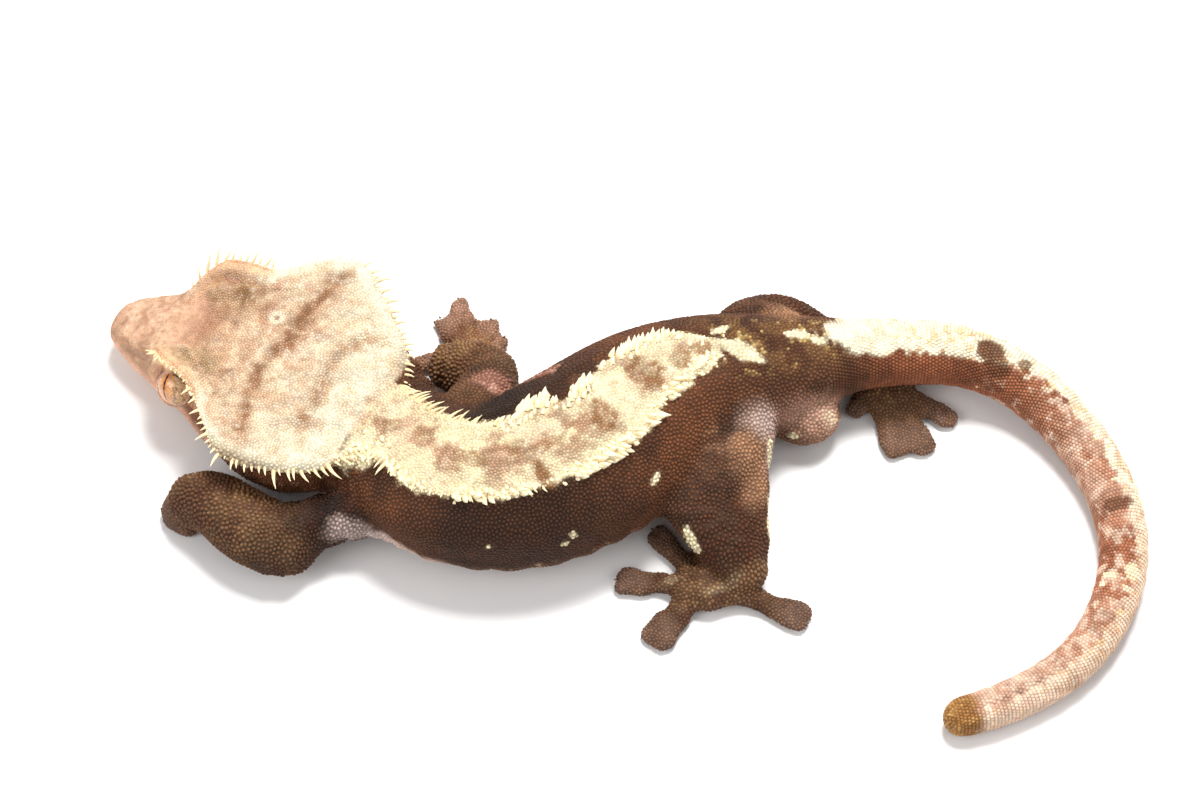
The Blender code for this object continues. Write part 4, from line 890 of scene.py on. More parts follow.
    # Toe pads: a groove along the top, and a notch in the tip.
    for palm, toes in FEET.values():
        for base, tip, narrow, pad, curl in toes:
            if curl is not None:
                continue
            a, t = np.array(base), np.array(tip)
            way = (t - a) * np.array([1, 1, 0])
            long = np.linalg.norm(way)
            way /= long
            d = co - a
            u = (d @ way) / long
            across = d @ np.array([-way[1], way[0], 0])
            near = (np.abs(across) < pad * 1.25) & (u > 0.45) & (u < 1.35)
            dent = 0.30 * step(u, 0.55, 0.75) * np.exp(-(across / (0.20 * pad)) ** 2) * (n[:, 2] > 0.2)
            co[:, 2] -= np.where(near, dent, 0)
            notch = 0.30 * step(u, 0.9, 1.0) * np.exp(-(across / (0.26 * pad)) ** 2)
            co -= np.where(near, notch, 0)[:, None] * way
            joint = 0.12 * np.sin(u * long * 2 * math.pi / 1.9) * step(u, 0.1, 0.3) * step(0.75 - u, 0, 0.2) * (np.abs(across) < narrow * 1.4)
            co[:, 2] += np.where(n[:, 2] > 0.2, joint, 0)
    # Lids: the skin dips under the ball inside the opening and stands round it as a thin rim, with a fold below.
    for sign in (1, -1):
        d, rho, past = lid_measures(co, sign)
        wanted = np.interp(past, (-30, -4, 0, 2.5, 5, 9, 13, 17, 24, 40), (2.3, 2.5, 3.13, 3.30, 3.34, 3.30, 3.12, 3.28, 3.30, 3.5))
        share = (1 - step(rho, 4.3, 5.0)) * (1 - step(past, 10, 32))
        inner = (1 - step(rho, 5.0, 6.0)) * (1 - step(past, -12, -2))
        share = np.maximum(share, inner * (rho < 4.8))
        co = co + d / np.maximum(rho, 1e-6)[:, None] * ((wanted - rho) * share)[:, None]
    return co


def make_skin():
    mesh = fused_flesh()
    co = read_mesh(mesh)
    b, w, h = head_measures(co)
    fine = (b < 23.5) & (head_depth(co) < 3.0)
    refined(mesh, fine)
    co = read_mesh(mesh)
    start, total, corner = read_faces(mesh)
    edges = np.empty(len(mesh.edges) * 2, np.int32)
    mesh.edges.foreach_get("vertices", edges)
    edges = edges.reshape(-1, 2)
    b, w, h = head_measures(co)
    co = smooth_points(co, edges, 5)
    co = smooth_points(co, edges, 5, weight=(b < 23.5).astype(float))
    n = vertex_normals(co, start, total, corner)
    co = co - n * COAT_DEPTH
    co = sculpt(co, n)
    b, w, h = head_measures(co)
    co = smooth_points(co, edges, 1, 0.4)
    co[:, 2] = np.maximum(co[:, 2], 0.10)
    bpy.data.meshes.remove(mesh)
    n = vertex_normals(co, start, total, corner)
    return co, n, edges, start, total, corner


# --------------------------------------------------------------------- markings
CREAM, PALE, SAND = rgb(243, 233, 205), rgb(231, 208, 176), rgb(212, 176, 144)
TAN_, BLOTCH, DARK_BLOTCH = rgb(196, 154, 122), rgb(178, 138, 108), rgb(142, 104, 78)
SNOUT_PINK, LIP, OLIVE_TAN = rgb(197, 157, 130), rgb(222, 180, 162), rgb(158, 124, 88)
CHEEK_BROWN, THROAT = rgb(146, 92, 66), rgb(150, 128, 116)
FLANK, FLANK_RED, FLANK_DARK = rgb(81, 49, 29), rgb(96, 59, 36), rgb(52, 31, 18)
BELLY, LAVENDER, GROIN, PINK = rgb(134, 100, 80), rgb(196, 176, 172), rgb(186, 156, 144), rgb(196, 134, 112)
LIMB, LIMB_OLIVE, LIMB_DARK, LIMB_PALE = rgb(92, 61, 43), rgb(106, 77, 53), rgb(60, 40, 28), rgb(164, 128, 94)
TOE, TOE_PAD = rgb(94, 72, 60), rgb(116, 92, 82)
TAIL_RED, TAIL_PINK, TAIL_DARK = rgb(138, 84, 57), rgb(196, 150, 126), rgb(98, 56, 38)
TAIL_TIP = rgb(146, 104, 58)

# Named marks on the back, tail and limbs, as (x, y, z, reach, strength).
STAINS = ((-17.0, -13.6, 18.3, 2.9, 1.3, -25, 0.75), (-11.2, -12.2, 19.3, 1.5, 1.2, 0, 0.7), (-7.7, -16.2, 19.1, 2.7, 1.0, -50, 1.0),
          (-5.9, -11.7, 19.9, 2.0, 1.1, 20, 0.75), (0.4, -8.2, 20.1, 2.9, 1.9, -72, 1.0), (6.0, -1.2, 20.0, 3.3, 2.3, -30, 1.0),
          (-1.6, -12.5, 19.6, 1.3, 0.9, 10, 0.5), (10.9, 0.8, 19.7, 2.0, 1.5, 35, 0.85), (13.6, 2.6, 19.2, 1.7, 1.3, 20, 0.85), (-23.5, -9.0, 17.0, 2.0, 1.2, -40, 0.6), (-27.5, -7.0, 16.0, 1.8, 1.0, 10, 0.5))
NOTCHES = ((-2.6, -3.4, 19.6, 2.0, 1.3, -60, 1.0), (0.6, 1.6, 19.3, 1.9, 0.9, 32, 1.0),
           (53.4, 7.6, 10.4, 1.9, 2.2, 80, 1.0), (54.4, 5.6, 9.6, 1.7, 1.9, 60, 0.9), (69.8, -14.0, 6.8, 2.4, 1.1, 8, 0.75), (58.2, 6.0, 9.0, 1.2, 0.9, 20, 0.8))
PALE_MARKS = ((-14.6, -23.9, 12.7, 0.55, 0.5, 0, 1.0), (-3.5, -22.3, 13.0, 0.6, 0.5, 0, 1.0), (-4.6, -23.0, 11.8, 0.5, 0.45, 30, 0.7),
              (7.3, -14.9, 14.7, 1.2, 0.45, 62, 1.0), (18.6, 3.2, 18.2, 2.9, 1.5, -8, 0.85), (16.2, 6.2, 17.6, 1.6, 0.7, 30, 0.9),
              (20.6, 2.3, 17.7, 1.8, 0.8, -12, 1.0), (26.8, 7.2, 15.4, 1.7, 0.8, 10, 1.0), (29.6, 6.6, 15.0, 1.3, 0.7, -15, 1.0),
              (12.3, -19.9, 7.4, 2.3, 0.5, -56, 1.0), (22.9, -9.0, 8.8, 3.6, 0.42, 92, 0.9), (22.7, -16.5, 6.6, 4.2, 0.36, 90, 0.9),
              (67.9, -24.5, 5.9, 1.1, 0.5, -20, 1.0), (67.0, -25.8, 5.6, 0.5, 0.45, 0, 1.0), (52.0, 4.4, 6.5, 0.4, 0.35, 0, 0.8),
              (26.3, -3.0, 5.3, 0.75, 0.7, 0, 1.0), (31.6, -0.9, 7.0, 1.6, 1.2, 0, 0.4), (-32.6, -9.9, 14.0, 3.4, 2.3, 40, 1.0),
              (-30.6, -11.6, 14.2, 2.4, 1.7, 30, 1.0), (70.9, -24.0, 6.4, 1.5, 0.9, 80, 0.8), (16.6, -25.4, 4.4, 3.0, 0.7, 18, 0.12), (9.6, -23.6, 3.4, 1.7, 0.7, 10, 0.15))


def spots(p, marks, edge=0.35, seed=70):
    """How much each point lies in any of the marks, with ragged edges."""
    out = np.zeros(len(p))
    if not marks:
        return out
    rough = (fbm(p, 1.6, seed) - 0.5) * 1.3
    for x, y, z, rx, ry, turn, strength in marks:
        c, s = math.cos(math.radians(turn)), math.sin(math.radians(turn))
        d = p - np.array([x, y, z])
        u, v = d[:, 0] * c + d[:, 1] * s, -d[:, 0] * s + d[:, 1] * c
        r = np.sqrt((u / rx) ** 2 + (v / ry) ** 2 + (d[:, 2] / max(rx, ry)) ** 2) + rough * edge * 1.2
        out = np.maximum(out, strength * (1 - step(r, 0.72, 1.12)))
    return out


def head_colour(p, b, w, h):
    bb = np.clip(b, 0, 48)
    edge = np.where(w > 0, HEAD["left"](bb), HEAD["right"](bb))
    crest = HEAD["crest"](bb)
    n1, n2, n3 = fbm(p, 6.0, 61), fbm(p, 2.0, 62), fbm(p, 0.8, 63)
    front = step(36 - b + 5 * (n1 - 0.5), 0, 16)
    c = blend(SAND, PALE, step(b + 8 * (n1 - 0.5), 14, 30))
    c = blend(c, rgb(236, 214, 190), 0.5 * step(n2 + 0.3 * (n1 - 0.5), 0.52, 0.72))
    c = blend(c, TAN_, 0.70 * step(fbm(p, 3.0, 67), 0.46, 0.66) * step(38 - b, 0, 10))
    c = blend(c, rgb(186, 140, 112), 0.55 * step(n2, 0.50, 0.70) * front)
    c = blend(c, SNOUT_PINK, step(13 - b + 3 * (n2 - 0.5), 0, 5) * 0.8)
    c = blend(c, rgb(164, 122, 94), 0.50 * step(fbm(p, 0.75, 68, 2), 0.50, 0.64) * step(19 - b, 0, 6))
    c = blend(c, rgb(222, 190, 164), 0.50 * step(fbm(p, 0.8, 76, 2), 0.54, 0.68) * step(19 - b, 0, 6))
    # Olive domes over the eyes and a stain between them.
    dome = np.exp(-((b - 16.5) / 4.6) ** 2 - ((np.abs(w) - 6.0) / 2.8) ** 2)
    orbit = blend(rgb(150, 116, 82), rgb(178, 150, 116), step(w, -1, 1))
    c = blend(c, orbit, np.clip(1.15 * dome + 0.12 * np.exp(-((b - 14) / 3) ** 2 - (w / 4) ** 2), 0, 1) * (0.35 + 0.80 * step(n2, 0.25, 0.7)))
    # Wavy cross bands along the head's folds: brown stains, with a dark core that is partly stain and partly painted
    # shade in the furrow.
    warp = 2.4 * (fbm(p, 3.0, 64) - 0.5)
    speck = step(n3 * 0.6 + n2 * 0.4, 0.36, 0.60)
    for path, width, strength in ((BAND_A, 1.35, 1.0), (BAND_B, 1.7, 1.0), (BAND_C, 1.4, 0.95)):
        off = stroke(b + warp, w + warp, path)
        c = blend(c, rgb(172, 130, 98), strength * np.exp(-(off / width) ** 2) * (0.52 + 0.48 * speck))
        c = blend(c, DARK_BLOTCH, 0.78 * strength * np.exp(-(off / 0.62) ** 2) * (0.30 + 0.70 * speck))
    c = blend(c, DARK_BLOTCH, 0.40 * step(n3 * 0.6 + n2 * 0.4, 0.54, 0.72) * step(b, 8, 16) * step(46 - b, 0, 5))
    # Light flecks a few scales wide.
    fleck = step(fbm(p, 0.85, 69, 2), 0.58, 0.72) * step(h - crest + 1.2, 0, 0.8)
    c = blend(c, rgb(246, 226, 202), 0.42 * fleck * step(b, 14, 20))
    # Cream along the crests.
    inward = edge - np.abs(w)
    c = blend(c, CREAM, step(3.4 - inward + 3.5 * (n2 - 0.5), 0, 2.6) * step(b, 15, 21))
    rear = step(b + 0.25 * np.abs(w) + 4 * (n1 - 0.5), 30, 41)
    c = blend(c, CREAM, 0.75 * rear * step(n2 + 0.4 * (n3 - 0.5), 0.32, 0.55))
    # A dark dot in a pale ring: the mark over the middle eye.
    dot = np.hypot(b - 23.9, w + 4.9)
    c = blend(c, CREAM, 0.75 * np.exp(-((dot - 0.75) / 0.5) ** 2))
    c = blend(c, DARK_BLOTCH * 0.5, np.exp(-(dot / 0.24) ** 2))
    # Below the crest: brown cheek, pink snout side, pale lips and throat.
    below = step(crest - 1.3 - h, 0, 1.0) * step(b, 8, 13)
    cheek = blend(CHEEK_BROWN, FLANK_RED, n2)
    cheek = blend(cheek, TAN_, 0.5 * step(n3, 0.55, 0.8))
    # The pink of the snout's side is made a fifth lighter: painted light, against the shade that side lies in.
    cheek = blend(cheek, SNOUT_PINK * 1.22, step(20 - b, 0, 9) * 0.85)
    c = blend(c, cheek, below)
    lip = np.abs(h - MOUTH(np.clip(b, -1, 22)))
    on_side = step(HEAD["crest"](bb) - h, 0.6, 2.5)
    c = blend(c, LIP, 0.9 * np.exp(-((lip - 0.8) / 1.0) ** 2) * step(24 - b, 0, 3) * on_side)
    # A thin dark line along the mouth: painted shade in the crease between the lips.
    c = blend(c, LIP * np.array([0.34, 0.22, 0.20]), 0.85 * np.exp(-(lip / 0.17) ** 2) * step(22.5 - b, 0, 2) * on_side)
    under = step(HEAD["cheek_h"](bb) - h, 1.4, 3.4)
    c = blend(c, blend(THROAT, LIP * 0.8, step(14 - b, 0, 8)), 0.85 * under)
    # The nostrils and the ear openings are painted near black: painted shade in their pits.
    nb, nw, nh = NOSTRIL_AT
    pit = np.sqrt(((b - nb) / 0.42) ** 2 + ((np.abs(w) - nw) / 0.45) ** 2 + ((h - nh) / 0.36) ** 2)
    c = blend(c, DARK_BLOTCH * 0.12, 1 - step(pit, 0.55, 0.95))
    eb, eh = EAR_AT
    ear = np.sqrt(((b - eb) / 1.0) ** 2 + ((h - eh - 0.25 * (b - eb)) / 0.55) ** 2)
    c = blend(c, FLANK_DARK * 0.35, (1 - step(ear, 0.5, 1.0)) * below)
    # The brow: a cream fringe with a rusty crease inside it.
    near_brow = step(b, 10.2, 11.4) * step(21.0 - b, 0, 1.5) * step(h - crest + 2.2, 0, 0.5)
    c = blend(c, rgb(228, 186, 146), 0.7 * near_brow * (1 - step(inward, 1.6, 2.6)))
    c = blend(c, rgb(240, 212, 172), 0.9 * near_brow * (1 - step(inward + 0.3 * (n3 - 0.5), 0.50, 0.80)))
    c = blend(c, rgb(184, 116, 82), 0.65 * near_brow * np.exp(-((inward - 0.98) / 0.13) ** 2))
    # Round the eyes: pinkish lids, a dark line along the fold below, and a thin dark inner edge that is painted shade
    # in the crevice where the lid meets the ball.
    for sign in (1, -1):
        d, rho, past = lid_measures(p, sign)
        ring = (1 - step(rho, 4.0, 4.9)) * (1 - step(past, 22, 40))
        c = blend(c, blend(rgb(226, 178, 150), rgb(200, 152, 124), n2), 0.85 * ring)
        c = blend(c, rgb(96, 58, 40), 0.7 * np.exp(-((past - 13.0) / 2.2) ** 2) * (1 - step(rho, 4.0, 4.8)))
        c = blend(c, rgb(70, 44, 32), (1 - step(past, -4, 1.5)) * (1 - step(rho, 4.2, 5.0)))
        c = blend(c, rgb(228, 190, 168), 0.7 * np.exp(-((past - 4.5) / 2.5) ** 2) * (1 - step(rho, 4.2, 5.0)))
    return c


def body_colour(p, s, o, high, wide, tall):
    n1, n2, n3 = fbm(p, 7.0, 81), fbm(p, 2.6, 82), fbm(p, 0.9, 83)
    angle = np.degrees(np.arctan2(high / np.maximum(tall, 0.5), o / np.maximum(wide, 0.5)))   # 0 left, 90 top, 180 right
    # Flanks.
    flank = blend(FLANK, FLANK_RED, 0.75 * step(n2, 0.3, 0.8))
    flank = blend(flank, FLANK_DARK, 0.7 * step(n1, 0.45, 0.8))
    # The right flank is made darker along the trunk: partly its own dark colour, partly painted shade.
    flank = blend(flank, FLANK_DARK, 0.6 * step(o, -2, -6) * step(s, 10, 20) * step(60 - s, 0, 15))
    # The flank's brightness changes along the body: partly its own tone, partly painted light and shade.
    flank = flank * np.interp(s, (14, 20, 26, 34, 44, 52, 60, 68), (1.15, 1.40, 0.52, 0.46, 1.05, 1.75, 1.30, 1.0))[:, None]
    under = step(-high, 0.2 * 6, 7.5)
    flank = blend(flank, BELLY, under * 0.85)
    flank = blend(flank, PALE * 0.8, 0.55 * step(-high, 1.0, 4.0) * step(7.5 + high, 0, 3) * step(n3 + 0.5 * n2, 0.92, 1.15))
    # The dorsal band, with scalloped edges and brown mottling that is densest along the middle.
    band = band_edge(s, o)
    ragged = 1.5 * (fbm(p, 3.4, 94) - 0.5) + 1.4 * (fbm(p, 1.9, 84) - 0.5) + 0.8 * (fbm(p, 0.9, 85) - 0.5)
    on_band = step(band + 0.25 + ragged - np.abs(o), -0.2, 0.3) * (high > 1) * step(63.5 - s + 6 * (n2 - 0.5), 0, 1.5)
    c_band = blend(PALE, rgb(237, 221, 184), step(s, 10, 20))
    mottle = fbm(p * np.array([1, 1, 0.3]), 3.4, 86)
    middle = np.exp(-(o / (0.72 * band)) ** 2)
    stain = step(mottle + 0.35 * (n3 - 0.5), 0.46, 0.60) * (0.25 + 0.75 * middle)
    c_band = blend(c_band, BLOTCH, 0.72 * stain)
    c_band = blend(c_band, rgb(214, 176, 150), 0.45 * middle * step(n2, 0.44, 0.64))
    c_band = blend(c_band, DARK_BLOTCH, 0.60 * step(mottle + 0.45 * (n3 - 0.5), 0.57, 0.68) * middle)
    c_band = blend(c_band, rgb(241, 224, 182), 0.8 * step(fbm(p, 2.3, 95) + 0.12 * (1 - middle), 0.56, 0.70))
    neck = step(26 - s, 0, 12)
    c_band = blend(c_band, SAND, 0.45 * neck * step(n2, 0.35, 0.7))
    c = blend(flank, c_band, on_band)
    # Hips: brown with a few pale patches.
    hips = step(s, 60, 66) * step(84 - s, 0, 4)
    c = blend(c, rgb(118, 86, 52), 0.75 * hips * (1 - on_band) * step(angle, 40, 70) * step(150 - angle, 0, 30) * step(n2 + 0.4 * (n3 - 0.5), 0.36, 0.6))
    c = blend(c, rgb(206, 178, 116), 0.7 * hips * (1 - on_band) * step(angle, 50, 75) * step(135 - angle, 0, 25) * step(fbm(p, 1.1, 98, 2), 0.60, 0.72))
    # The tail: pale outside and above, reddish inside.
    limit = np.interp(s, (76, 80, 88, 96, 101, 106, 112, 122, 134, 146, 153, 160, 166, 172),
                      (104, 60, 52, 54, 74, 92, 92, 94, 100, 112, 100, 88, 100, 160))
    rough = 60 * (fbm(p, 3.2, 87) - 0.5) + 62 * (fbm(p, 1.2, 88) - 0.5)
    on_tail = step(s - 4.5 * np.clip((angle - 96) / 50, 0, 1) - 5.0 * np.clip((92 - angle) / 40, 0, 1) + 7 * (n2 - 0.5), 76.0, 78.0)
    pale = step(angle + rough * (0.45 + 0.55 * step(s, 96, 110)) - limit, -3, 7) + step(-angle, 100, 130) * 0
    pale = np.where(angle < -120, step(-angle, 110, 140) * 0.8, pale)
    red = blend(TAIL_RED, TAIL_PINK, 0.85 * step(s + 10 * (n1 - 0.5), 98, 134))
    red = blend(red, TAIL_DARK, 0.6 * step(n2, 0.48, 0.70) * (1 - 0.6 * step(s, 120, 150)))
    red = blend(red, rgb(150, 92, 64), 0.5 * step(fbm(p, 1.4, 96), 0.5, 0.7) * step(s, 84, 100))
    red = blend(FLANK, red, step(s, 79, 88))
    red = blend(red, rgb(220, 180, 156), 0.60 * step(s, 112, 120) * step(131 - s, 0, 6) * step(n2 + 0.3 * (n3 - 0.5), 0.30, 0.60))
    deep = step(s, 128, 137) * step(149 - s, 0, 8)
    red = red * (1 - deep[:, None] * np.array([0.26, 0.46, 0.56]))
    lit = blend(CREAM, blend(PALE, rgb(236, 206, 184), 0.6), step(s, 118, 150))
    fleck = step(fbm(p, 0.75, 89, 2), 0.56, 0.68)
    lit = blend(lit, rgb(222, 166, 96), 0.50 * fleck * step(s, 80, 88))
    lit = blend(lit, rgb(206, 152, 124), 0.60 * step(fbm(p, 0.95, 97, 2), 0.52, 0.64) * step(s, 108, 124))
    tail = blend(red, lit, pale)
    specks = step(fbm(p, 1.1, 90, 3) + 0.13 * step(s, 115, 160), 0.54, 0.74)
    tail = blend(tail, rgb(236, 208, 184), 0.66 * specks * step(s, 98, 110))
    tail = blend(tail, TAIL_PINK * 0.92, 0.25 * step(n2, 0.5, 0.75) * step(s, 145, 155))
    tail = blend(tail, rgb(242, 216, 194), 0.55 * step(s, 154, 163) * (0.4 + 0.6 * step(n3, 0.35, 0.6)))
    tail = blend(tail, rgb(156, 124, 110), 0.5 * step(-high, 0.5, 2.5) * step(s, 100, 120))
    tail = blend(tail, blend(TAIL_TIP, rgb(176, 134, 80), step(n3, 0.45, 0.65)), step(s + 2.6 * (n3 - 0.5), 168.2, 170.2))
    c = blend(c, tail, on_tail)
    c = blend(c, DARK_BLOTCH * 0.7, 0.0 * n1)
    return c, on_band * (1 - on_tail), np.where(s > 78, pale * on_tail, 0)


def markings(p, normal):
    """Base colour of the skin at each point, and how much of a scale's tip is lighter than it, partly its own paler tip
    and partly a painted highlight.
    """
    r = regions(p)
    share = r["share"]
    colour = np.zeros((len(p), 3))
    colour += share[:, :1] * head_colour(p, r["b"], r["w"], r["h"])
    body, on_band, pale_tail = body_colour(p, r["s"], r["o"], r["high"], r["wide"], r["tall"])
    colour += share[:, 1:2] * body
    n1, n2, n3 = fbm(p, 5.0, 91), fbm(p, 1.8, 92), fbm(p, 0.8, 93)
    for k, name in enumerate(REGIONS[2:11], start=2):
        along = r["along"][name]
        c = blend(LIMB, LIMB_DARK, step(n2, 0.4, 0.75))
        if "thigh" in name or "web" in name:
            c = blend(c, rgb(166, 126, 98), 0.84 * step(n1 + 0.4 * (n2 - 0.5), 0.32, 0.54) * step(normal[:, 2], 0.1, 0.6) * step(0.85 - along, 0, 0.3))
            c = blend(c, FLANK_DARK, 0.25 * step(along, 0.5, 0.0))
        elif "shank" in name:
            c = c * np.array([0.68, 0.54, 0.42])
            c = blend(c, LIMB_OLIVE, 0.3 * step(n2, 0.45, 0.7))
            c = blend(c, LIMB_PALE, 0.35 * step(along, 0.80, 1.0))
        elif "fore" in name:
            c = blend(c, LIMB_OLIVE, 0.75 * step(n2, 0.3, 0.65))
            # Tan on the upper side of the forearm: partly its colour, partly a painted highlight.
            c = blend(c, rgb(150, 118, 84), 0.45 * step(n1 + 0.3 * (n3 - 0.5), 0.42, 0.66) * step(normal[:, 2], 0.0, 0.7))
        else:
            # The left upper arm is painted much darker than the other limbs: painted shadow.
            c = blend(c, LIMB_OLIVE, 0.4 * step(n1, 0.4, 0.7)) * (np.array([0.30, 0.21, 0.16]) if name == "upper_arm_left" else 1.0)
        # The right limbs are painted lighter than the left: painted light on the side that faces the light.
        if "right" in name:
            c = c * 1.15
        c = blend(c, BELLY, 0.5 * step(-normal[:, 2], 0.3, 0.9))
        colour += share[:, k:k + 1] * c
    for k, name in enumerate(FOOT_NAMES.values(), start=11):
        toe, u = r["toes"][name]
        c = blend(blend(LIMB, LIMB_OLIVE, step(n2, 0.35, 0.7)), LIMB_PALE, 0.36 * step(n3 + 0.3 * (n2 - 0.5), 0.46, 0.66) * step(0.62 - u, 0, 0.4))
        c = blend(c * 0.86, TOE * 1.62, 0.80 * step(u, 0.30, 0.60) * (toe > 0))
        c = blend(c, TOE_PAD * 1.15, 0.6 * step(n2, 0.4, 0.65) * step(u, 0.55, 0.8) * (toe > 0))
        c = blend(c, TOE * 0.75, 0.5 * step(n3, 0.5, 0.7) * (toe > 0))
        # The right hand and foot are painted lighter than the left ones: painted light on the side that faces the
        # light.
        if "right" in name:
            c = c * (2.0 if "hand" in name else 1.20)
        colour += share[:, k:k + 1] * c
    # Thin pale skin in the armpits and the groin.
    def patch(at, reach, target, amount, seed):
        d = np.linalg.norm((p - np.array(at)) / np.array(reach), axis=1) + 0.5 * (fbm(p, 2.0, seed) - 0.5)
        return amount * (1 - step(d, *((0.6, 1.15) if seed < 104 else (0.25, 1.35)))), target
    for at, reach, target, amount, seed in (
            ((-34.0, -18.0, 7.4), (4.2, 2.6, 2.4), LAVENDER * 0.8, 0.85, 101), ((-28.4, -19.2, 5.8), (4.4, 2.8, 2.4), LAVENDER, 0.95, 102),
            ((-24.0, -21.0, 4.9), (5.2, 2.4, 2.4), LAVENDER * 0.9, 0.95, 107), ((-33.5, -14.6, 3.8), (6.5, 3.6, 3.0), LAVENDER * 0.8, 0.8, 108), ((-17.8, -23.0, 3.2), (4.6, 2.2, 1.7), LAVENDER * 0.75, 0.65, 111),
            ((-14.2, 2.6, 10.6), (3.6, 2.4, 2.6), rgb(164, 116, 102), 0.85, 103), ((-10.8, 1.4, 13.2), (3.4, 1.9, 2.4), rgb(142, 94, 78), 0.6, 100),
            ((-7.2, 1.0, 15.6), (3.0, 1.5, 1.7), rgb(146, 96, 80), 0.7, 98), ((21.6, -4.8, 12.4), (3.8, 2.6, 3.8), rgb(190, 166, 156), 0.95, 104),
            ((23.4, -7.6, 7.4), (2.4, 4.0, 4.0), GROIN, 0.8, 109), ((26.6, -2.0, 10.4), (4.2, 2.6, 3.0), rgb(168, 128, 114), 0.80, 110),
            ((29.6, -0.6, 6.6), (5.0, 3.4, 4.6), rgb(204, 162, 140), 0.95, 105), ((26.0, 11.0, 4.6), (4.6, 3.8, 3.6), GROIN * 0.8, 0.6, 106)):
        amount, target = patch(at, reach, target, amount, seed)
        colour = blend(colour, target, amount)
    line = np.clip(((p - np.array([-15.0, 1.8, 11.0])) @ np.array([8.6, -0.8, 5.0])) / 99.6, 0, 1)
    off = np.linalg.norm(p - np.array([-15.0, 1.8, 11.0]) - line[:, None] * np.array([8.6, -0.8, 5.0]), axis=1)
    warts = np.exp(-(off / 1.5) ** 2) * step(fbm(p, 0.9, 99, 2), 0.52, 0.66)
    colour = blend(colour, rgb(214, 170, 152), 0.65 * warts)
    colour = blend(colour, rgb(144, 106, 72), spots(p, STAINS, 0.6) * (0.58 + 0.40 * step(n3, 0.35, 0.6)))
    colour = blend(colour, rgb(96, 60, 38), spots(p, NOTCHES, seed=73) * 0.95)
    colour = blend(colour, rgb(244, 230, 192), spots(p, PALE_MARKS, 0.6, seed=75))
    light = colour @ np.array([0.3, 0.5, 0.2])
    tip = 1 - step(light, 0.12, 0.45)
    # Dark skin is a little redder than its marks, and the pale crests are painted warmer where they turn from the
    # light: a painted glow, as of light through the skin.
    colour = colour * (1 - tip[:, None] * np.array([0.0, 0.07, 0.17]))
    painted_glow = step(0.55 - normal[:, 2], 0, 0.7) * (1 - tip) * (share[:, 0] + 0.6 * share[:, 1] * (r["s"] < 62))
    colour = np.minimum(colour * (1 + painted_glow[:, None] * np.array([0.16, 0.04, -0.16])), 0.97)
    return colour, tip, r


# ----------------------------------------------------------------------- scales
def spacing_at(p, r):
    """Distance between neighbouring scales."""
    share = r["share"]
    head = np.interp(r["b"], (0, 8, 16, 28, 44), (0.31, 0.32, 0.34, 0.37, 0.40))
    eye_gap = np.full(len(p), 9.0)
    for sign in (1, -1):
        centre, axis, tall_way, wide_way = eye_frame(sign)
        eye_gap = np.minimum(eye_gap, np.linalg.norm(p - centre, axis=1))
    head = np.where(eye_gap < 4.4, 0.28, head)
    body = np.interp(r["s"], (0, 20, 60, 90, 150, 172), (0.46, 0.49, 0.50, 0.50, 0.50, 0.44))
    on_band = (np.abs(r["o"]) < band_edge(r["s"], r["o"]) + 0.4) & (r["high"] > 1) & (r["s"] < 63)
    body = np.where(on_band, 0.40, body)
    out = share[:, 0] * head + share[:, 1] * body
    for k, name in enumerate(REGIONS[2:11], start=2):
        out = out + share[:, k] * (0.56 if "shank" in name or "fore" in name else 0.50)
    for k, name in enumerate(FOOT_NAMES.values(), start=11):
        toe, u = r["toes"][name]
        out = out + share[:, k] * np.where(toe > 0, 0.46 - 0.08 * u, 0.50)
    return out


def darts(points, spacing):
    """Points kept so that no two are nearer than their spacing."""
    n = len(points)
    i, j, d = near_pairs(points, spacing.max())
    keep = d < 0.5 * (spacing[i] + spacing[j])
    i, j = i[keep], j[keep]
    alive, taken = np.ones(n, bool), np.zeros(n, bool)
    while alive.any():
        blocked = np.zeros(n, bool)
        blocked[np.maximum(i, j)] = True              # points come in random order, so the lower index has the say
        chosen = alive & ~blocked
        taken |= chosen
        hit = np.zeros(n, bool)
        hit[j[chosen[i]]] = True
        hit[i[chosen[j]]] = True
        alive &= ~chosen & ~hit
        keep = alive[i] & alive[j]
        i, j = i[keep], j[keep]
    return taken


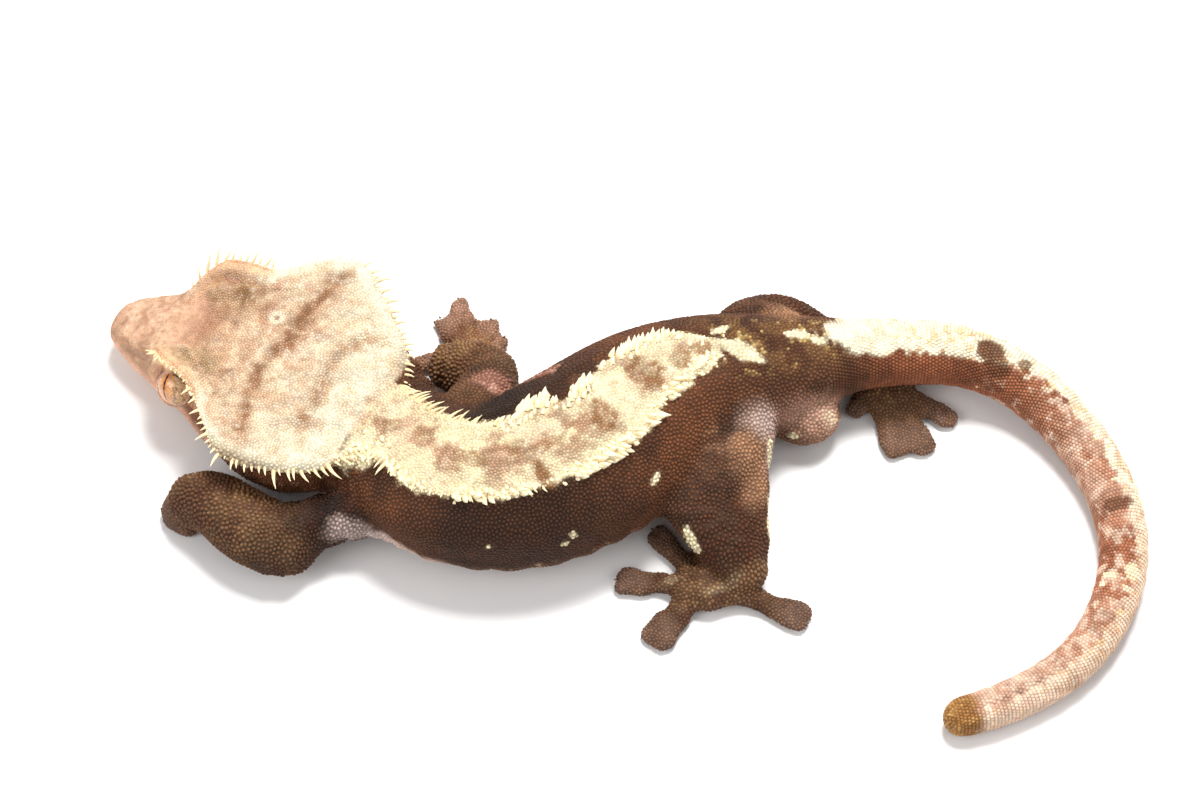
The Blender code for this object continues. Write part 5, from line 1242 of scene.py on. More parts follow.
class Surface:
    """The skin as a surface to throw scales on."""

    def __init__(self, co, n, start, total, corner):
        self.co, self.n = co, n
        self.start, self.total, self.corner = start, total, corner
        polys = [corner[a:a + t].tolist() for a, t in zip(start.tolist(), total.tolist())]
        self.tree = BVHTree.FromPolygons([tuple(v) for v in co.tolist()], polys)

    def sample(self, count, rng, weight=None):
        first = self.corner[self.start]
        tris = []
        for k in range(1, int(self.total.max()) - 1):
            ok = self.total > k + 1
            tris.append(np.stack([first[ok], self.corner[self.start[ok] + k], self.corner[self.start[ok] + k + 1]], 1))
        tris = np.concatenate(tris)
        a, b, c = (self.co[tris[:, k]] for k in range(3))
        area = np.linalg.norm(np.cross(b - a, c - a), axis=1) / 2
        if weight is not None:
            area = area * weight[tris].mean(1)
        pick = np.searchsorted(np.cumsum(area) / area.sum(), rng.random(count))
        pick = np.minimum(pick, len(tris) - 1)
        u, v = rng.random(count), rng.random(count)
        flip = u + v > 1
        u, v = np.where(flip, 1 - u, u), np.where(flip, 1 - v, v)
        w = np.stack([1 - u - v, u, v], 1)
        t = tris[pick]
        point = (self.co[t] * w[..., None]).sum(1)
        normal = (self.n[t] * w[..., None]).sum(1)
        return point, normal / np.linalg.norm(normal, axis=1, keepdims=True)

    def nearest(self, points):
        out, normal = points.copy(), np.zeros_like(points)
        find = self.tree.find_nearest
        for k, q in enumerate(points.tolist()):
            hit = find(q)
            out[k] = hit[0]
            v = self.corner[self.start[hit[2]]:self.start[hit[2]] + self.total[hit[2]]]
            d = 1.0 / (((self.co[v] - out[k]) ** 2).sum(1) + 1e-4)
            normal[k] = (self.n[v] * d[:, None]).sum(0)
        return out, normal / np.maximum(np.linalg.norm(normal, axis=1, keepdims=True), 1e-9)


def relax(points, spacing, fixed, surface, rounds=4):
    normal = None
    for turn in range(rounds):
        i, j, d = near_pairs(points, spacing.max() * 1.35)
        want = 0.5 * (spacing[i] + spacing[j]) * 1.18
        keep = d < want
        i, j, d, want = i[keep], j[keep], d[keep], want[keep]
        push = ((want - d) / want * 0.30 * want)[:, None] * (points[i] - points[j]) / np.maximum(d, 1e-6)[:, None]
        move = np.zeros_like(points)
        for k in range(3):
            move[:, k] = np.bincount(i, push[:, k], len(points)) - np.bincount(j, push[:, k], len(points))
        size = np.linalg.norm(move, axis=1, keepdims=True)
        move *= np.minimum(1, 0.3 * spacing[:, None] / np.maximum(size, 1e-9))
        points = points + np.where(fixed[:, None], 0, move)
        if turn % 2 == 1 or turn == rounds - 1:
            points, normal = surface.nearest(points)
    return points, normal


def lie_of(p, r):
    """The way that scales point: to the rear on head and trunk, to the feet on the limbs."""
    _, f, left, high = HEAD_AT
    tangent = spine_frame(np.clip(r["s"], 0, SPINE_LENGTH))[1]
    lie = r["share"][:, :1] * -f + r["share"][:, 1:2] * tangent
    for k, name in enumerate(REGIONS[2:11], start=2):
        rows = LIMBS[name]
        curve, length = natural(rows)
        at = r["along"][name] * length
        way = (curve(np.clip(at + 0.3, 0, length)) - curve(np.clip(at - 0.3, 0, length)))[:, :3]
        way /= np.maximum(np.linalg.norm(way, axis=1, keepdims=True), 1e-9)
        lie = lie + r["share"][:, k:k + 1] * way
    for k, (key, name) in enumerate(FOOT_NAMES.items(), start=11):
        palm, toes = FEET[key]
        way = p - np.array(palm[:3])
        way[:, 2] = 0
        way /= np.maximum(np.linalg.norm(way, axis=1, keepdims=True), 1e-9)
        lie = lie + r["share"][:, k:k + 1] * way
    return lie


def unwrap(p, r, kind):
    """A place for each root on an unwrap of the skin, in a tile of its own for each region."""
    region = r["share"].argmax(1)
    uv = np.zeros((len(p), 2))
    cells = 4
    for k, name in enumerate(REGIONS):
        m = region == k
        if not m.any():
            continue
        if name == "head":
            u = np.clip(r["b"][m] + 4, 0, 56) / 56
            v = (np.arctan2(r["h"][m] - 1.5, r["w"][m]) / (2 * math.pi)) % 1.0
        elif name == "body":
            u = np.clip(r["s"][m], -2, 176) / 180 + 0.012
            v = (np.arctan2(r["high"][m], r["o"][m]) / (2 * math.pi) + 0.25) % 1.0
        elif name in LIMBS:
            rows = LIMBS[name]
            curve, length = natural(rows)
            at = r["along"][name][m]
            c = curve(at * length)[:, :3]
            way = (curve(np.clip(at * length + 0.3, 0, length)) - curve(np.clip(at * length - 0.3, 0, length)))[:, :3]
            side = np.cross(way, (0, 0, 1.0))
            side /= np.maximum(np.linalg.norm(side, axis=1, keepdims=True), 1e-9)
            d = p[m] - c
            over = (d * (way / np.linalg.norm(way, axis=1, keepdims=True))).sum(1)
            u = (at * length + over + 5) / (length + 10)
            v = (np.arctan2(d[:, 2], (d * side).sum(1)) / (2 * math.pi) + 0.25) % 1.0
        else:
            key = [a for a, c in FOOT_NAMES.items() if c == name][0]
            centre = np.array(FEET[key][0][:3])
            d = p[m] - centre
            u = d[:, 0] / 60 + 0.25 + 0.5 * (r["normal"][m][:, 2] < -0.1)
            v = d[:, 1] / 34 + 0.5
        if name in ("head", "body") and kind != "limbs":
            uv[m] = np.stack([0.01 + 0.98 * u, 0.01 + 0.98 * v], 1)
            continue
        cell = np.array([k % cells, k // cells]) / cells
        uv[m] = cell + np.stack([0.03 + 0.94 * np.clip(u, 0, 1), 0.03 + 0.94 * np.clip(v, 0, 1)], 1) / cells
    return uv


def dome_piece(name, p, n, lie, radius, height, colour, tip, uv, stretch, rng):
    """Many small domed scales as one mesh."""
    count = len(p)
    lie = lie - n * (lie * n).sum(1, keepdims=True)
    lie /= np.maximum(np.linalg.norm(lie, axis=1, keepdims=True), 1e-9)
    side = np.cross(n, lie)
    turn = rng.uniform(-0.3, 0.3, count)
    a = np.arange(6) * math.pi / 3
    ring = a[None] + turn[:, None]
    uneven = 1 + rng.uniform(-0.09, 0.09, (count, 6))
    rows = []
    for out, up, back in ((1.0, -0.45, 0.0), (0.70, 0.66, 0.07)):
        x = (np.cos(ring) * out * uneven * stretch[:, None] + back) * radius[:, None]
        y = np.sin(ring) * out * uneven * radius[:, None]
        z = np.broadcast_to((up * height)[:, None], x.shape)
        rows.append(np.stack([x, y, z], 2))
    crown = np.stack([0.16 * radius, np.zeros(count), height], 1)[:, None]
    local = np.concatenate([*rows, crown], 1)                               # count, 13, 3
    points = (p[:, None] + local[..., :1] * lie[:, None] + local[..., 1:2] * side[:, None] + local[..., 2:] * n[:, None]).reshape(-1, 3)
    points[:, 2] = np.maximum(points[:, 2], 0.02)
    faces4 = np.array([[k, (k + 1) % 6, 6 + (k + 1) % 6, 6 + k] for k in range(6)])
    faces3 = np.array([[6 + k, 6 + (k + 1) % 6, 12] for k in range(6)])
    base = (np.arange(count) * 13)[:, None]
    loops = np.concatenate([(base + faces4.reshape(1, -1)), (base + faces3.reshape(1, -1))], 1).reshape(-1)
    totals = np.tile(np.array([4] * 6 + [3] * 6), count)
    shade = np.empty((count, 13, 3))
    vary = 1 + rng.uniform(-0.10, 0.10, (count, 1, 1))
    # The foot of each dome is darker than its colour: partly the skin's own tone between the scales, partly painted
    # shade there.
    low = blend(np.array([0.84, 0.74, 0.69]), np.array([0.54, 0.54, 0.54]), tip)
    shade[:, :6] = (colour * low)[:, None]
    shade[:, 6:12] = colour[:, None] * 0.98 * vary
    # The crown of each dome is lighter, most on dark scales: partly their own paler tips, partly a painted highlight.
    crown_highlight = np.array([1.30, 1.25, 1.16])
    shade[:, 12:] = colour[:, None] * (1.04 + tip[:, None, None] * (crown_highlight * 1.12 - 1.04)) * vary
    offset = np.concatenate([np.stack([np.cos(a), np.sin(a)], 1), 0.66 * np.stack([np.cos(a), np.sin(a)], 1), [[0, 0]]]) * 0.0015
    per_vert = (uv[:, None] + offset[None]).reshape(-1, 2)
    return piece(name, points, loops, totals, shade.reshape(-1, 3), per_vert[loops], smooth=True)


# ----------------------------------------------------- spines, claws and tubercles
def horn_piece(name, foot, way, bend, length, radius, colours, uv, sides=6, rings=5, flat=None, squash=1.0):
    """Curved tapering horns as one mesh: each starts along way and turns towards bend."""
    count = len(foot)
    way = way / np.linalg.norm(way, axis=1, keepdims=True)
    across = np.cross(way, bend)
    short = np.linalg.norm(across, axis=1) < 1e-3
    across[short] = np.cross(way[short], np.array([0.3, 0.5, 0.8]))
    across /= np.linalg.norm(across, axis=1, keepdims=True)
    a = np.arange(sides) * 2 * math.pi / sides
    t = np.linspace(0, 1, rings)
    points, shades = [], []
    for k, u in enumerate(t):
        heading = way + bend * u * 0.9
        heading /= np.linalg.norm(heading, axis=1, keepdims=True)
        centre = foot + way * ((u * length) - 0.25)[:, None] + bend * (0.45 * u * u * length)[:, None]
        third = np.cross(heading, across)
        r = radius * (1 - u ** 1.35) + 0.035
        points.append(centre[:, None] + (across[:, None] * np.cos(a)[None, :, None] * squash + third[:, None] * np.sin(a)[None, :, None]) * r[:, None, None])
        shades.append(np.repeat(blend(colours[0], colours[1], np.full(count, min(1, u * 1.5)))[:, None], sides, 1))
    heading = way + bend * 0.9
    heading /= np.linalg.norm(heading, axis=1, keepdims=True)
    apex = foot + way * (length - 0.25 + 0.06)[:, None] + bend * (0.45 * length)[:, None]
    points.append(apex[:, None])
    shades.append(blend(colours[0], colours[1], np.full(count, 1.0))[:, None])
    per = sides * rings + 1
    co = np.concatenate(points, 1).reshape(-1, 3)
    shade = np.concatenate(shades, 1).reshape(-1, 3)
    quads = [[r * sides + k, r * sides + (k + 1) % sides, (r + 1) * sides + (k + 1) % sides, (r + 1) * sides + k]
             for r in range(rings - 1) for k in range(sides)]
    tris = [[(rings - 1) * sides + k, (rings - 1) * sides + (k + 1) % sides, per - 1] for k in range(sides)]
    base = (np.arange(count) * per)[:, None]
    loops = np.concatenate([base + np.array(quads).reshape(1, -1), base + np.array(tris).reshape(1, -1)], 1).reshape(-1)
    totals = np.tile(np.array([4] * len(quads) + [3] * len(tris)), count)
    co[:, 2] = np.maximum(co[:, 2], 0.02)
    spread = np.concatenate([np.stack([np.cos(a), np.sin(a)], 1) * 0.0015 * (1 - 0.8 * u) for u in t] + [np.zeros((1, 2))])
    per_vert = (uv[:, None] + spread[None]).reshape(-1, 2)
    obj = piece(name, co, loops, totals, shade, per_vert[loops])
    # Face the horns outwards, whichever way across turned out.
    mesh = obj.data
    bm = bmesh.new()
    bm.from_mesh(mesh)
    if bm.calc_volume(signed=True) < 0:
        bmesh.ops.reverse_faces(bm, faces=bm.faces)
        bm.to_mesh(mesh)
    bm.free()
    return obj


def crest_feet(side, count, surface):
    """Feet of the spines: along the head's edge behind the eye, over its corner, then along the pale band's edge."""
    sign, edge = (1, HEAD["left"]) if side == "left" else (-1, HEAD["right"])
    b = np.linspace(18.5, 43.0 if side == "left" else 44.0, 60)
    head = head_point(b, sign * (edge(b) - 0.25), HEAD["crest"](b) - 0.45)
    s = np.linspace(14.5 if side == "left" else 12.5, 36.0 if side == "left" else 31.5, 50)
    centre, t, left, up, widths = spine_frame(s)
    band = band_edge(s, np.full(len(s), sign)) - 0.30
    half = np.where(sign > 0, widths[:, 0], widths[:, 1])
    high = widths[:, 2] * (1 - (band / half) ** 2.1) ** (1 / 2.1) + RIDGE_AT(s)
    out = sign * band + widths[:, 4] * high / widths[:, 2]
    neck = centre + left * out[:, None] + np.array([0, 0, 1.0]) * high[:, None]
    curve, length = natural(np.concatenate([head[::6], neck[::5]]))
    at = np.linspace(0, length, count)
    p = curve(at)
    along = curve(at + 0.3) - curve(at - 0.3)
    along /= np.linalg.norm(along, axis=1, keepdims=True)
    out_way = np.cross(along, (0, 0, 1.0)) * (1 if side == "left" else -1)
    out_way /= np.linalg.norm(out_way, axis=1, keepdims=True)
    return surface.nearest(p)[0], along, out_way, at / length


def crest_spines(surface, rng):
    """The long curved spines of the two crests, from behind the eyes to the shoulders."""
    feet, ways, bends, lengths = [], [], [], []
    for side, table, count in (("left", SPINE_LENGTH_LEFT, 64), ("right", SPINE_LENGTH_RIGHT, 62)):
        p, along, out, u = crest_feet(side, count, surface)
        long_at = pchip(table)
        for k in range(count):
            size = float(long_at(u[k])) * (0.55 + 0.55 * rng.random()) * ((1.35 if u[k] < 0.62 else 0.85) if side == "left" else 0.72 - 0.25 * max(0.0, u[k] - 0.85) / 0.15)
            if u[k] < 0.5:
                size *= (1.0, 0.5, 0.8, 0.6)[k % 4] * (1.0 if side == "left" else 1.75)
            else:
                size *= (1.0, 0.72, 0.9, 0.6)[k % 4] if side == "left" else (1.0, 0.8, 1.0, 0.6)[k % 4]
            feet.append(p[k] + rng.normal(0, 0.10, 3))
            ways.append(out[k] + np.array([0, 0, 0.12 if side == "left" else 0.30]) + along[k] * 0.05 + rng.normal(0, 0.10, 3))
            bends.append(along[k] * (0.75 + 0.3 * rng.random()) * (0.55 if side == "left" else 1.15) + np.array([0, 0, 0.12]))
            lengths.append(size)
    return np.array(feet), np.array(ways), np.array(bends), np.array(lengths)


def brow_lashes(rng):
    """Short spines along the brow over each eye, the front ones pointing forward."""
    feet, ways, bends, lengths = [], [], [], []
    _, f, left, high = HEAD_AT
    for sign, stations in ((1, ((9.9, 1.1), (10.2, 1.5), (10.5, 1.3), (10.8, 1.7), (11.1, 1.3), (11.5, 1.6), (11.9, 1.0), (12.3, 1.1), (12.8, 0.8), (13.5, 0.6), (14.3, 0.55), (15.1, 0.5), (15.9, 0.5), (16.7, 0.55), (17.5, 0.6), (18.3, 0.7), (19.1, 1.0))),
                           (-1, ((10.0, 1.5), (10.6, 2.2), (11.3, 2.7), (12.2, 2.9), (13.1, 2.2), (14.0, 1.4), (15.0, 1.1), (15.9, 1.3), (16.8, 2.0), (17.7, 1.5), (18.6, 2.1), (19.5, 1.7)))):
        edge = HEAD["left"] if sign > 0 else HEAD["right"]
        for b, size in stations:
            e, crest = float(edge(b)), float(HEAD["crest"](b))
            feet.append(head_point(b, sign * (e - 0.25), crest - 0.45))
            ahead = np.clip((12.5 - b) / 3.0, -0.3, 1.0)
            ways.append(f * ahead * (1.1 if sign > 0 else 0.7) + left * sign * (0.9 - 0.3 * max(ahead, 0)) + high * (0.35 if sign > 0 else 0.75) + rng.normal(0, 0.20, 3))
            bends.append(high * 0.35 - f * 0.15)
            lengths.append(size * (0.9 + 0.2 * rng.random()))
    return np.array(feet), np.array(ways), np.array(bends), np.array(lengths)


def ridge_tubercles(surface, rng):
    """Pointed pale scales in ragged rows along both edges of the dorsal band."""
    feet, ways, bends, lengths = [], [], [], []
    for sign in (1, -1):
        for row, (inset, gap, size) in enumerate(((0.0, 0.62, 1.0), (0.55, 0.75, 0.8), (-0.45, 1.1, 0.6), (1.3, 1.0, 0.6))):
            s = np.arange(16 if sign > 0 else 30, 62.0, gap) + rng.uniform(-0.2, 0.2)
            s = s + rng.uniform(-0.3, 0.3, len(s))
            centre, t, left, up, widths = spine_frame(s)
            band = band_edge(s, np.full(len(s), sign)) - inset + rng.uniform(-0.45, 0.45, len(s))
            half = np.where(sign > 0, widths[:, 0], widths[:, 1])
            high = widths[:, 2] * (1 - np.clip(np.abs(band) / half, 0, 0.98) ** 2.1) ** (1 / 2.1) + RIDGE_AT(s)
            out = sign * band + widths[:, 4] * high / widths[:, 2]
            at = centre + left * out[:, None] + np.array([0, 0, 1.0]) * high[:, None]
            clump = noise(at, 2.6, 210)
            keep = rng.random(len(s)) < 0.25 + 0.9 * step(clump, 0.30, 0.55)
            way = left * sign * 0.85 + t * 0.45 + np.array([0, 0, 0.55]) + rng.normal(0, 0.22, (len(s), 3))
            long = size * (0.25 + 1.5 * clump ** 1.5 + 0.25 * rng.random(len(s))) * np.interp(s, (16, 30, 55, 62), (0.8, 1.2, 1.2, 0.8))
            feet.append(at[keep])
            ways.append(way[keep])
            bends.append((t * 0.5 + left * sign * 0.1)[keep])
            lengths.append(long[keep])
    # Tubercles in the notch between head and neck, and a few warts on flanks and hips.
    notch = np.array([-32.2, -10.2, 14.9]) + rng.normal(0, 1.0, (26, 3)) * np.array([1.5, 1.0, 0.7])
    spare = np.array([[-14.6, -23.9, 12.7], [-3.5, -22.3, 13.0], [-4.6, -23.0, 11.8], [26.3, -3.2, 5.3], [26.9, -3.0, 5.0], [7.0, -15.2, 14.2], [7.5, -14.6, 15.0],
                      [17.6, 4.0, 18.3], [18.6, 4.4, 18.0], [16.6, 4.9, 18.2], [20.6, 2.3, 17.7], [26.8, 7.2, 15.4], [27.6, 7.6, 15.0]])
    for at, size in ((notch, 0.9), (spare, 0.35)):
        feet.append(at)
        ways.append(np.tile(np.array([0.25, -0.75, 0.6]), (len(at), 1)) + rng.normal(0, 0.25, (len(at), 3)))
        bends.append(np.tile(np.array([0.4, -0.1, 0.0]), (len(at), 1)))
        lengths.append(size * rng.uniform(0.6, 1.3, len(at)))
    feet, ways, bends, lengths = (np.concatenate(v) for v in (feet, ways, bends, lengths))
    feet, normal = surface.nearest(feet)
    ways = ways / np.linalg.norm(ways, axis=1, keepdims=True) + 0.3 * normal
    return feet, ways, bends, lengths


def claw_rows():
    """A small curved claw at the tip of each toe."""
    feet, ways, bends, lengths = [], [], [], []
    for key, (palm, toes) in FEET.items():
        for base, tip, narrow, pad, curl in toes:
            end = np.array(curl if curl is not None else tip, float)
            before = np.array(tip if curl is not None else base, float)
            way = (end - before) / np.linalg.norm(end - before)
            if curl is None:
                feet.append(end - way * 0.30 + np.array([0, 0, 0.55]))
                ways.append(way + np.array([0, 0, 0.15]))
            else:
                feet.append(end + way * 0.3 + np.array([0, 0, 0.0]))
                ways.append(way)
            bends.append(np.array([0, 0, -0.75]))
            lengths.append(0.42)
    return np.array(feet), np.array(ways), np.array(bends), np.array(lengths)


# ------------------------------------------------------------------------- eyes
def eyeball(name, sign):
    """An eye with its own axes: x looks out, z is along the pupil's slit."""
    centre, axis, tall, wide = eye_frame(sign, GAZE)
    lean = math.radians(24) * sign            # the slit leans back a little from upright
    tall = tall * math.cos(lean) + np.cross(axis, tall) * math.sin(lean)
    mesh = bpy.data.meshes.new(name)
    bm = bmesh.new()
    bmesh.ops.create_uvsphere(bm, u_segments=96, v_segments=64, radius=BALL * MM)
    for v in bm.verts:
        out = v.co.x / (BALL * MM)
        if out > 0.80:                       # the spectacle bulges a little over the iris
            v.co *= 1 + 0.035 * ((out - 0.80) / 0.20) ** 1.5
    for face in bm.faces:
        face.smooth = True
    bm.to_mesh(mesh)
    bm.free()
    obj = bpy.data.objects.new(name, mesh)
    at = (centre + np.array(SHIFT)) * MM
    x, z = Vector(axis), Vector(tall)
    y = z.cross(x)
    m = Matrix(((x.x, y.x, z.x, at[0]), (x.y, y.y, z.y, at[1]), (x.z, y.z, z.z, at[2]), (0, 0, 0, 1)))
    obj.matrix_world = m
    bpy.context.scene.collection.objects.link(obj)
    return obj


# -------------------------------------------------------------------- materials
class Nodes:
    """Short hand for building a material's nodes."""

    def __init__(self, name):
        self.mat = bpy.data.materials.new(name)
        self.mat.use_nodes = True
        self.tree = self.mat.node_tree
        self.shader = self.tree.nodes["Principled BSDF"]

    def add(self, kind, **settings):
        node = self.tree.nodes.new(kind)
        for key, value in settings.items():
            setattr(node, key, value)
        return node

    def link(self, a, b):
        self.tree.links.new(a, b)

    def value(self, socket, item):
        if hasattr(item, "is_output"):
            self.link(item, socket)
        else:
            socket.default_value = item

    def math(self, operation, *items, clamp=False):
        node = self.add("ShaderNodeMath", operation=operation, use_clamp=clamp)
        for socket, item in zip(node.inputs, items):
            self.value(socket, item)
        return node.outputs[0]

    def mix(self, factor, a, b, mode="MIX"):
        node = self.add("ShaderNodeMix", data_type="RGBA", blend_type=mode, clamp_factor=True)
        self.value(node.inputs[0], factor)
        for socket, item in ((node.inputs[6], a), (node.inputs[7], b)):
            self.value(socket, (*item, 1.0) if isinstance(item, tuple) and len(item) == 3 else item)
        return node.outputs[2]

    def ramp(self, source, low, high, a=0.0, b=1.0):
        node = self.add("ShaderNodeMapRange", interpolation_type="SMOOTHSTEP")
        self.value(node.inputs[0], source)
        for socket, item in zip(list(node.inputs)[1:5], (low, high, a, b)):
            socket.default_value = item
        return node.outputs[0]

    def noise(self, vector, scale, detail=3.0, roughness=0.55, distortion=0.0):
        node = self.add("ShaderNodeTexNoise")
        self.link(vector, node.inputs["Vector"])
        node.inputs["Scale"].default_value = scale
        node.inputs["Detail"].default_value = detail
        node.inputs["Roughness"].default_value = roughness
        node.inputs["Distortion"].default_value = distortion
        return node.outputs["Fac"]

    def bump(self, height, strength, distance, normal=None):
        node = self.add("ShaderNodeBump")
        node.inputs["Strength"].default_value = strength
        node.inputs["Distance"].default_value = distance
        self.link(height, node.inputs["Height"])
        if normal is not None:
            self.link(normal, node.inputs["Normal"])
        return node.outputs["Normal"]

    def put(self, **values):
        for key, item in values.items():
            socket = self.shader.inputs[{"colour": "Base Color", "roughness": "Roughness", "normal": "Normal", "coat": "Coat Weight",
                                         "coat_roughness": "Coat Roughness", "ior": "IOR", "specular": "Specular IOR Level",
                                         "subsurface": "Subsurface Weight", "radius": "Subsurface Radius", "scale": "Subsurface Scale"}[key]]
            self.value(socket, item)


def coat_material(name, base_rough, bump, subsurface, cells=True, spread=0.30):
    """Colour from the marks laid on the mesh, broken up with grain; roughness and fine relief from the same grain."""
    m = Nodes(name)
    place = m.add("ShaderNodeTexCoord").outputs["Object"]
    marks = m.add("ShaderNodeVertexColor", layer_name="Col").outputs["Color"]
    large, grain, fine = m.noise(place, 420, 3), m.noise(place, 1600, 3), m.noise(place, 5200, 2)
    light = m.ramp(large, 0.3, 0.7, 1.0 - spread * 0.5, 1.0 + spread * 0.35)
    light2 = m.ramp(grain, 0.3, 0.7, 1.0 - spread * 0.45, 1.0 + spread * 0.4)
    shade = m.math("MULTIPLY", light, light2)
    grey = m.add("ShaderNodeCombineColor")
    for k in range(3):
        m.link(shade, grey.inputs[k])
    colour = m.mix(1.0, marks, grey.outputs[0], "MULTIPLY")
    rough = m.math("ADD", m.ramp(grain, 0.25, 0.75, base_rough - 0.09, base_rough + 0.10), m.ramp(fine, 0.3, 0.7, -0.03, 0.03))
    height = m.math("ADD", m.math("MULTIPLY", grain, 0.7), m.math("MULTIPLY", fine, 0.5))
    if cells:
        cell = m.add("ShaderNodeTexVoronoi", feature="F1")
        m.link(place, cell.inputs["Vector"])
        cell.inputs["Scale"].default_value = 4200
        height = m.math("SUBTRACT", height, m.math("MULTIPLY", cell.outputs["Distance"], 0.5))
    m.put(colour=colour, roughness=rough, normal=m.bump(height, bump, 0.00012), specular=0.22)
    if subsurface:
        m.put(subsurface=subsurface, radius=(1.0, 0.45, 0.28), scale=0.0006)
    return m.mat


def eye_material(sign):
    """Iris in gold and tan with dark veins, a slit pupil and a darker rim, under a clear wet coat."""
    m = Nodes("eye_iris_left" if sign > 0 else "eye_iris_right")
    place = m.add("ShaderNodeTexCoord").outputs["Object"]
    split = m.add("ShaderNodeSeparateXYZ")
    m.link(place, split.inputs[0])
    r = BALL * MM
    x, y, z = (m.math("DIVIDE", split.outputs[k], q) for k, q in enumerate((r, r * sign, r)))
    vein = m.noise(place, 1700, 4, 0.62, 0.8)
    wide = m.noise(place, 700, 3)
    out = m.math("SQRT", m.math("ADD", m.math("MULTIPLY", y, y), m.math("MULTIPLY", z, z)))
    gold = m.mix(m.ramp(wide, 0.35, 0.65), (0.62, 0.24, 0.065), (0.72, 0.36, 0.13))
    gold = m.mix(m.ramp(y, 0.10, 0.60), gold, (0.74, 0.45, 0.23))
    gold = m.mix(m.math("MULTIPLY", m.ramp(m.noise(place, 1500, 3, 0.6, 0.8), 0.48, 0.60), 0.55), gold, (0.42, 0.25, 0.13))
    gold = m.mix(m.ramp(y, -0.45, -0.62), gold, (0.50, 0.33, 0.24))
    gold = m.mix(m.math("MULTIPLY", m.ramp(vein, 0.50, 0.57), 0.80), gold, (0.24, 0.10, 0.035))
    gold = m.mix(m.math("MULTIPLY", m.ramp(m.noise(place, 3600, 3), 0.54, 0.62), 0.55), gold, (0.92, 0.70, 0.42))
    # The slit: narrow, tapering to its ends, with scalloped edges.
    bow = m.math("SUBTRACT", y, m.math("MULTIPLY", m.math("MULTIPLY", z, z), 0.10))
    ends = m.math("SUBTRACT", 1.0, m.math("MULTIPLY", m.math("MULTIPLY", z, z), 1.95))
    scallop = m.math("MULTIPLY", m.math("SINE", m.math("MULTIPLY", z, 24.0)), 0.012)
    half = m.math("MULTIPLY", m.math("ADD", scallop, 0.040), m.math("SQRT", m.math("MAXIMUM", ends, 0.0)))
    gap = m.math("SUBTRACT", m.math("ABSOLUTE", bow), half)
    glow = m.ramp(gap, 0.02, 0.34, 1.0, 0.0)
    gold = m.mix(m.math("MULTIPLY", glow, 0.62), gold, (0.74, 0.25, 0.05))
    near = m.ramp(gap, 0.0, 0.055, 1.0, 0.0)
    gold = m.mix(m.math("MULTIPLY", near, 0.5), gold, (0.30, 0.12, 0.04))
    pupil = m.ramp(gap, -0.012, 0.016, 1.0, 0.0)
    colour = m.mix(pupil, gold, (0.004, 0.003, 0.003))
    colour = m.mix(m.ramp(out, 0.90, 0.985), colour, (0.30, 0.17, 0.10))
    height = m.math("MULTIPLY", vein, m.math("SUBTRACT", 1.0, pupil))
    m.put(colour=colour, roughness=m.ramp(vein, 0.3, 0.7, 0.22, 0.34), normal=m.bump(height, 0.25, 0.00008),
          coat=1.0, coat_roughness=0.03, ior=1.38, specular=0.5)
    return m.mat


def claw_material():
    m = Nodes("claw_horn")
    place = m.add("ShaderNodeTexCoord").outputs["Object"]
    marks = m.add("ShaderNodeVertexColor", layer_name="Col").outputs["Color"]
    streak = m.noise(place, 2400, 3, 0.6, 0.4)
    colour = m.mix(m.ramp(streak, 0.35, 0.7), marks, m.mix(1.0, marks, (0.62, 0.55, 0.48), "MULTIPLY"))
    m.put(colour=colour, roughness=m.ramp(streak, 0.3, 0.7, 0.26, 0.42), normal=m.bump(streak, 0.3, 0.00005), specular=0.5)
    return m.mat


def floor_material():
    m = Nodes("studio_floor")
    place = m.add("ShaderNodeTexCoord").outputs["Object"]
    tone = m.noise(place, 6, 3)
    colour = m.mix(m.ramp(tone, 0.3, 0.7), (0.86, 0.85, 0.85), (0.90, 0.89, 0.89))
    m.put(colour=colour, roughness=m.ramp(tone, 0.3, 0.7, 0.55, 0.65))
    return m.mat


# --------------------------------------------------------------------- building
def finish_piece(obj, mat):
    obj.data.materials.clear()
    obj.data.materials.append(mat)
    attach(obj, "root")
    return obj


def at_roots(points, n, kind="limbs"):
    r = regions(points)
    r["normal"] = n
    return r, unwrap(points, r, kind)


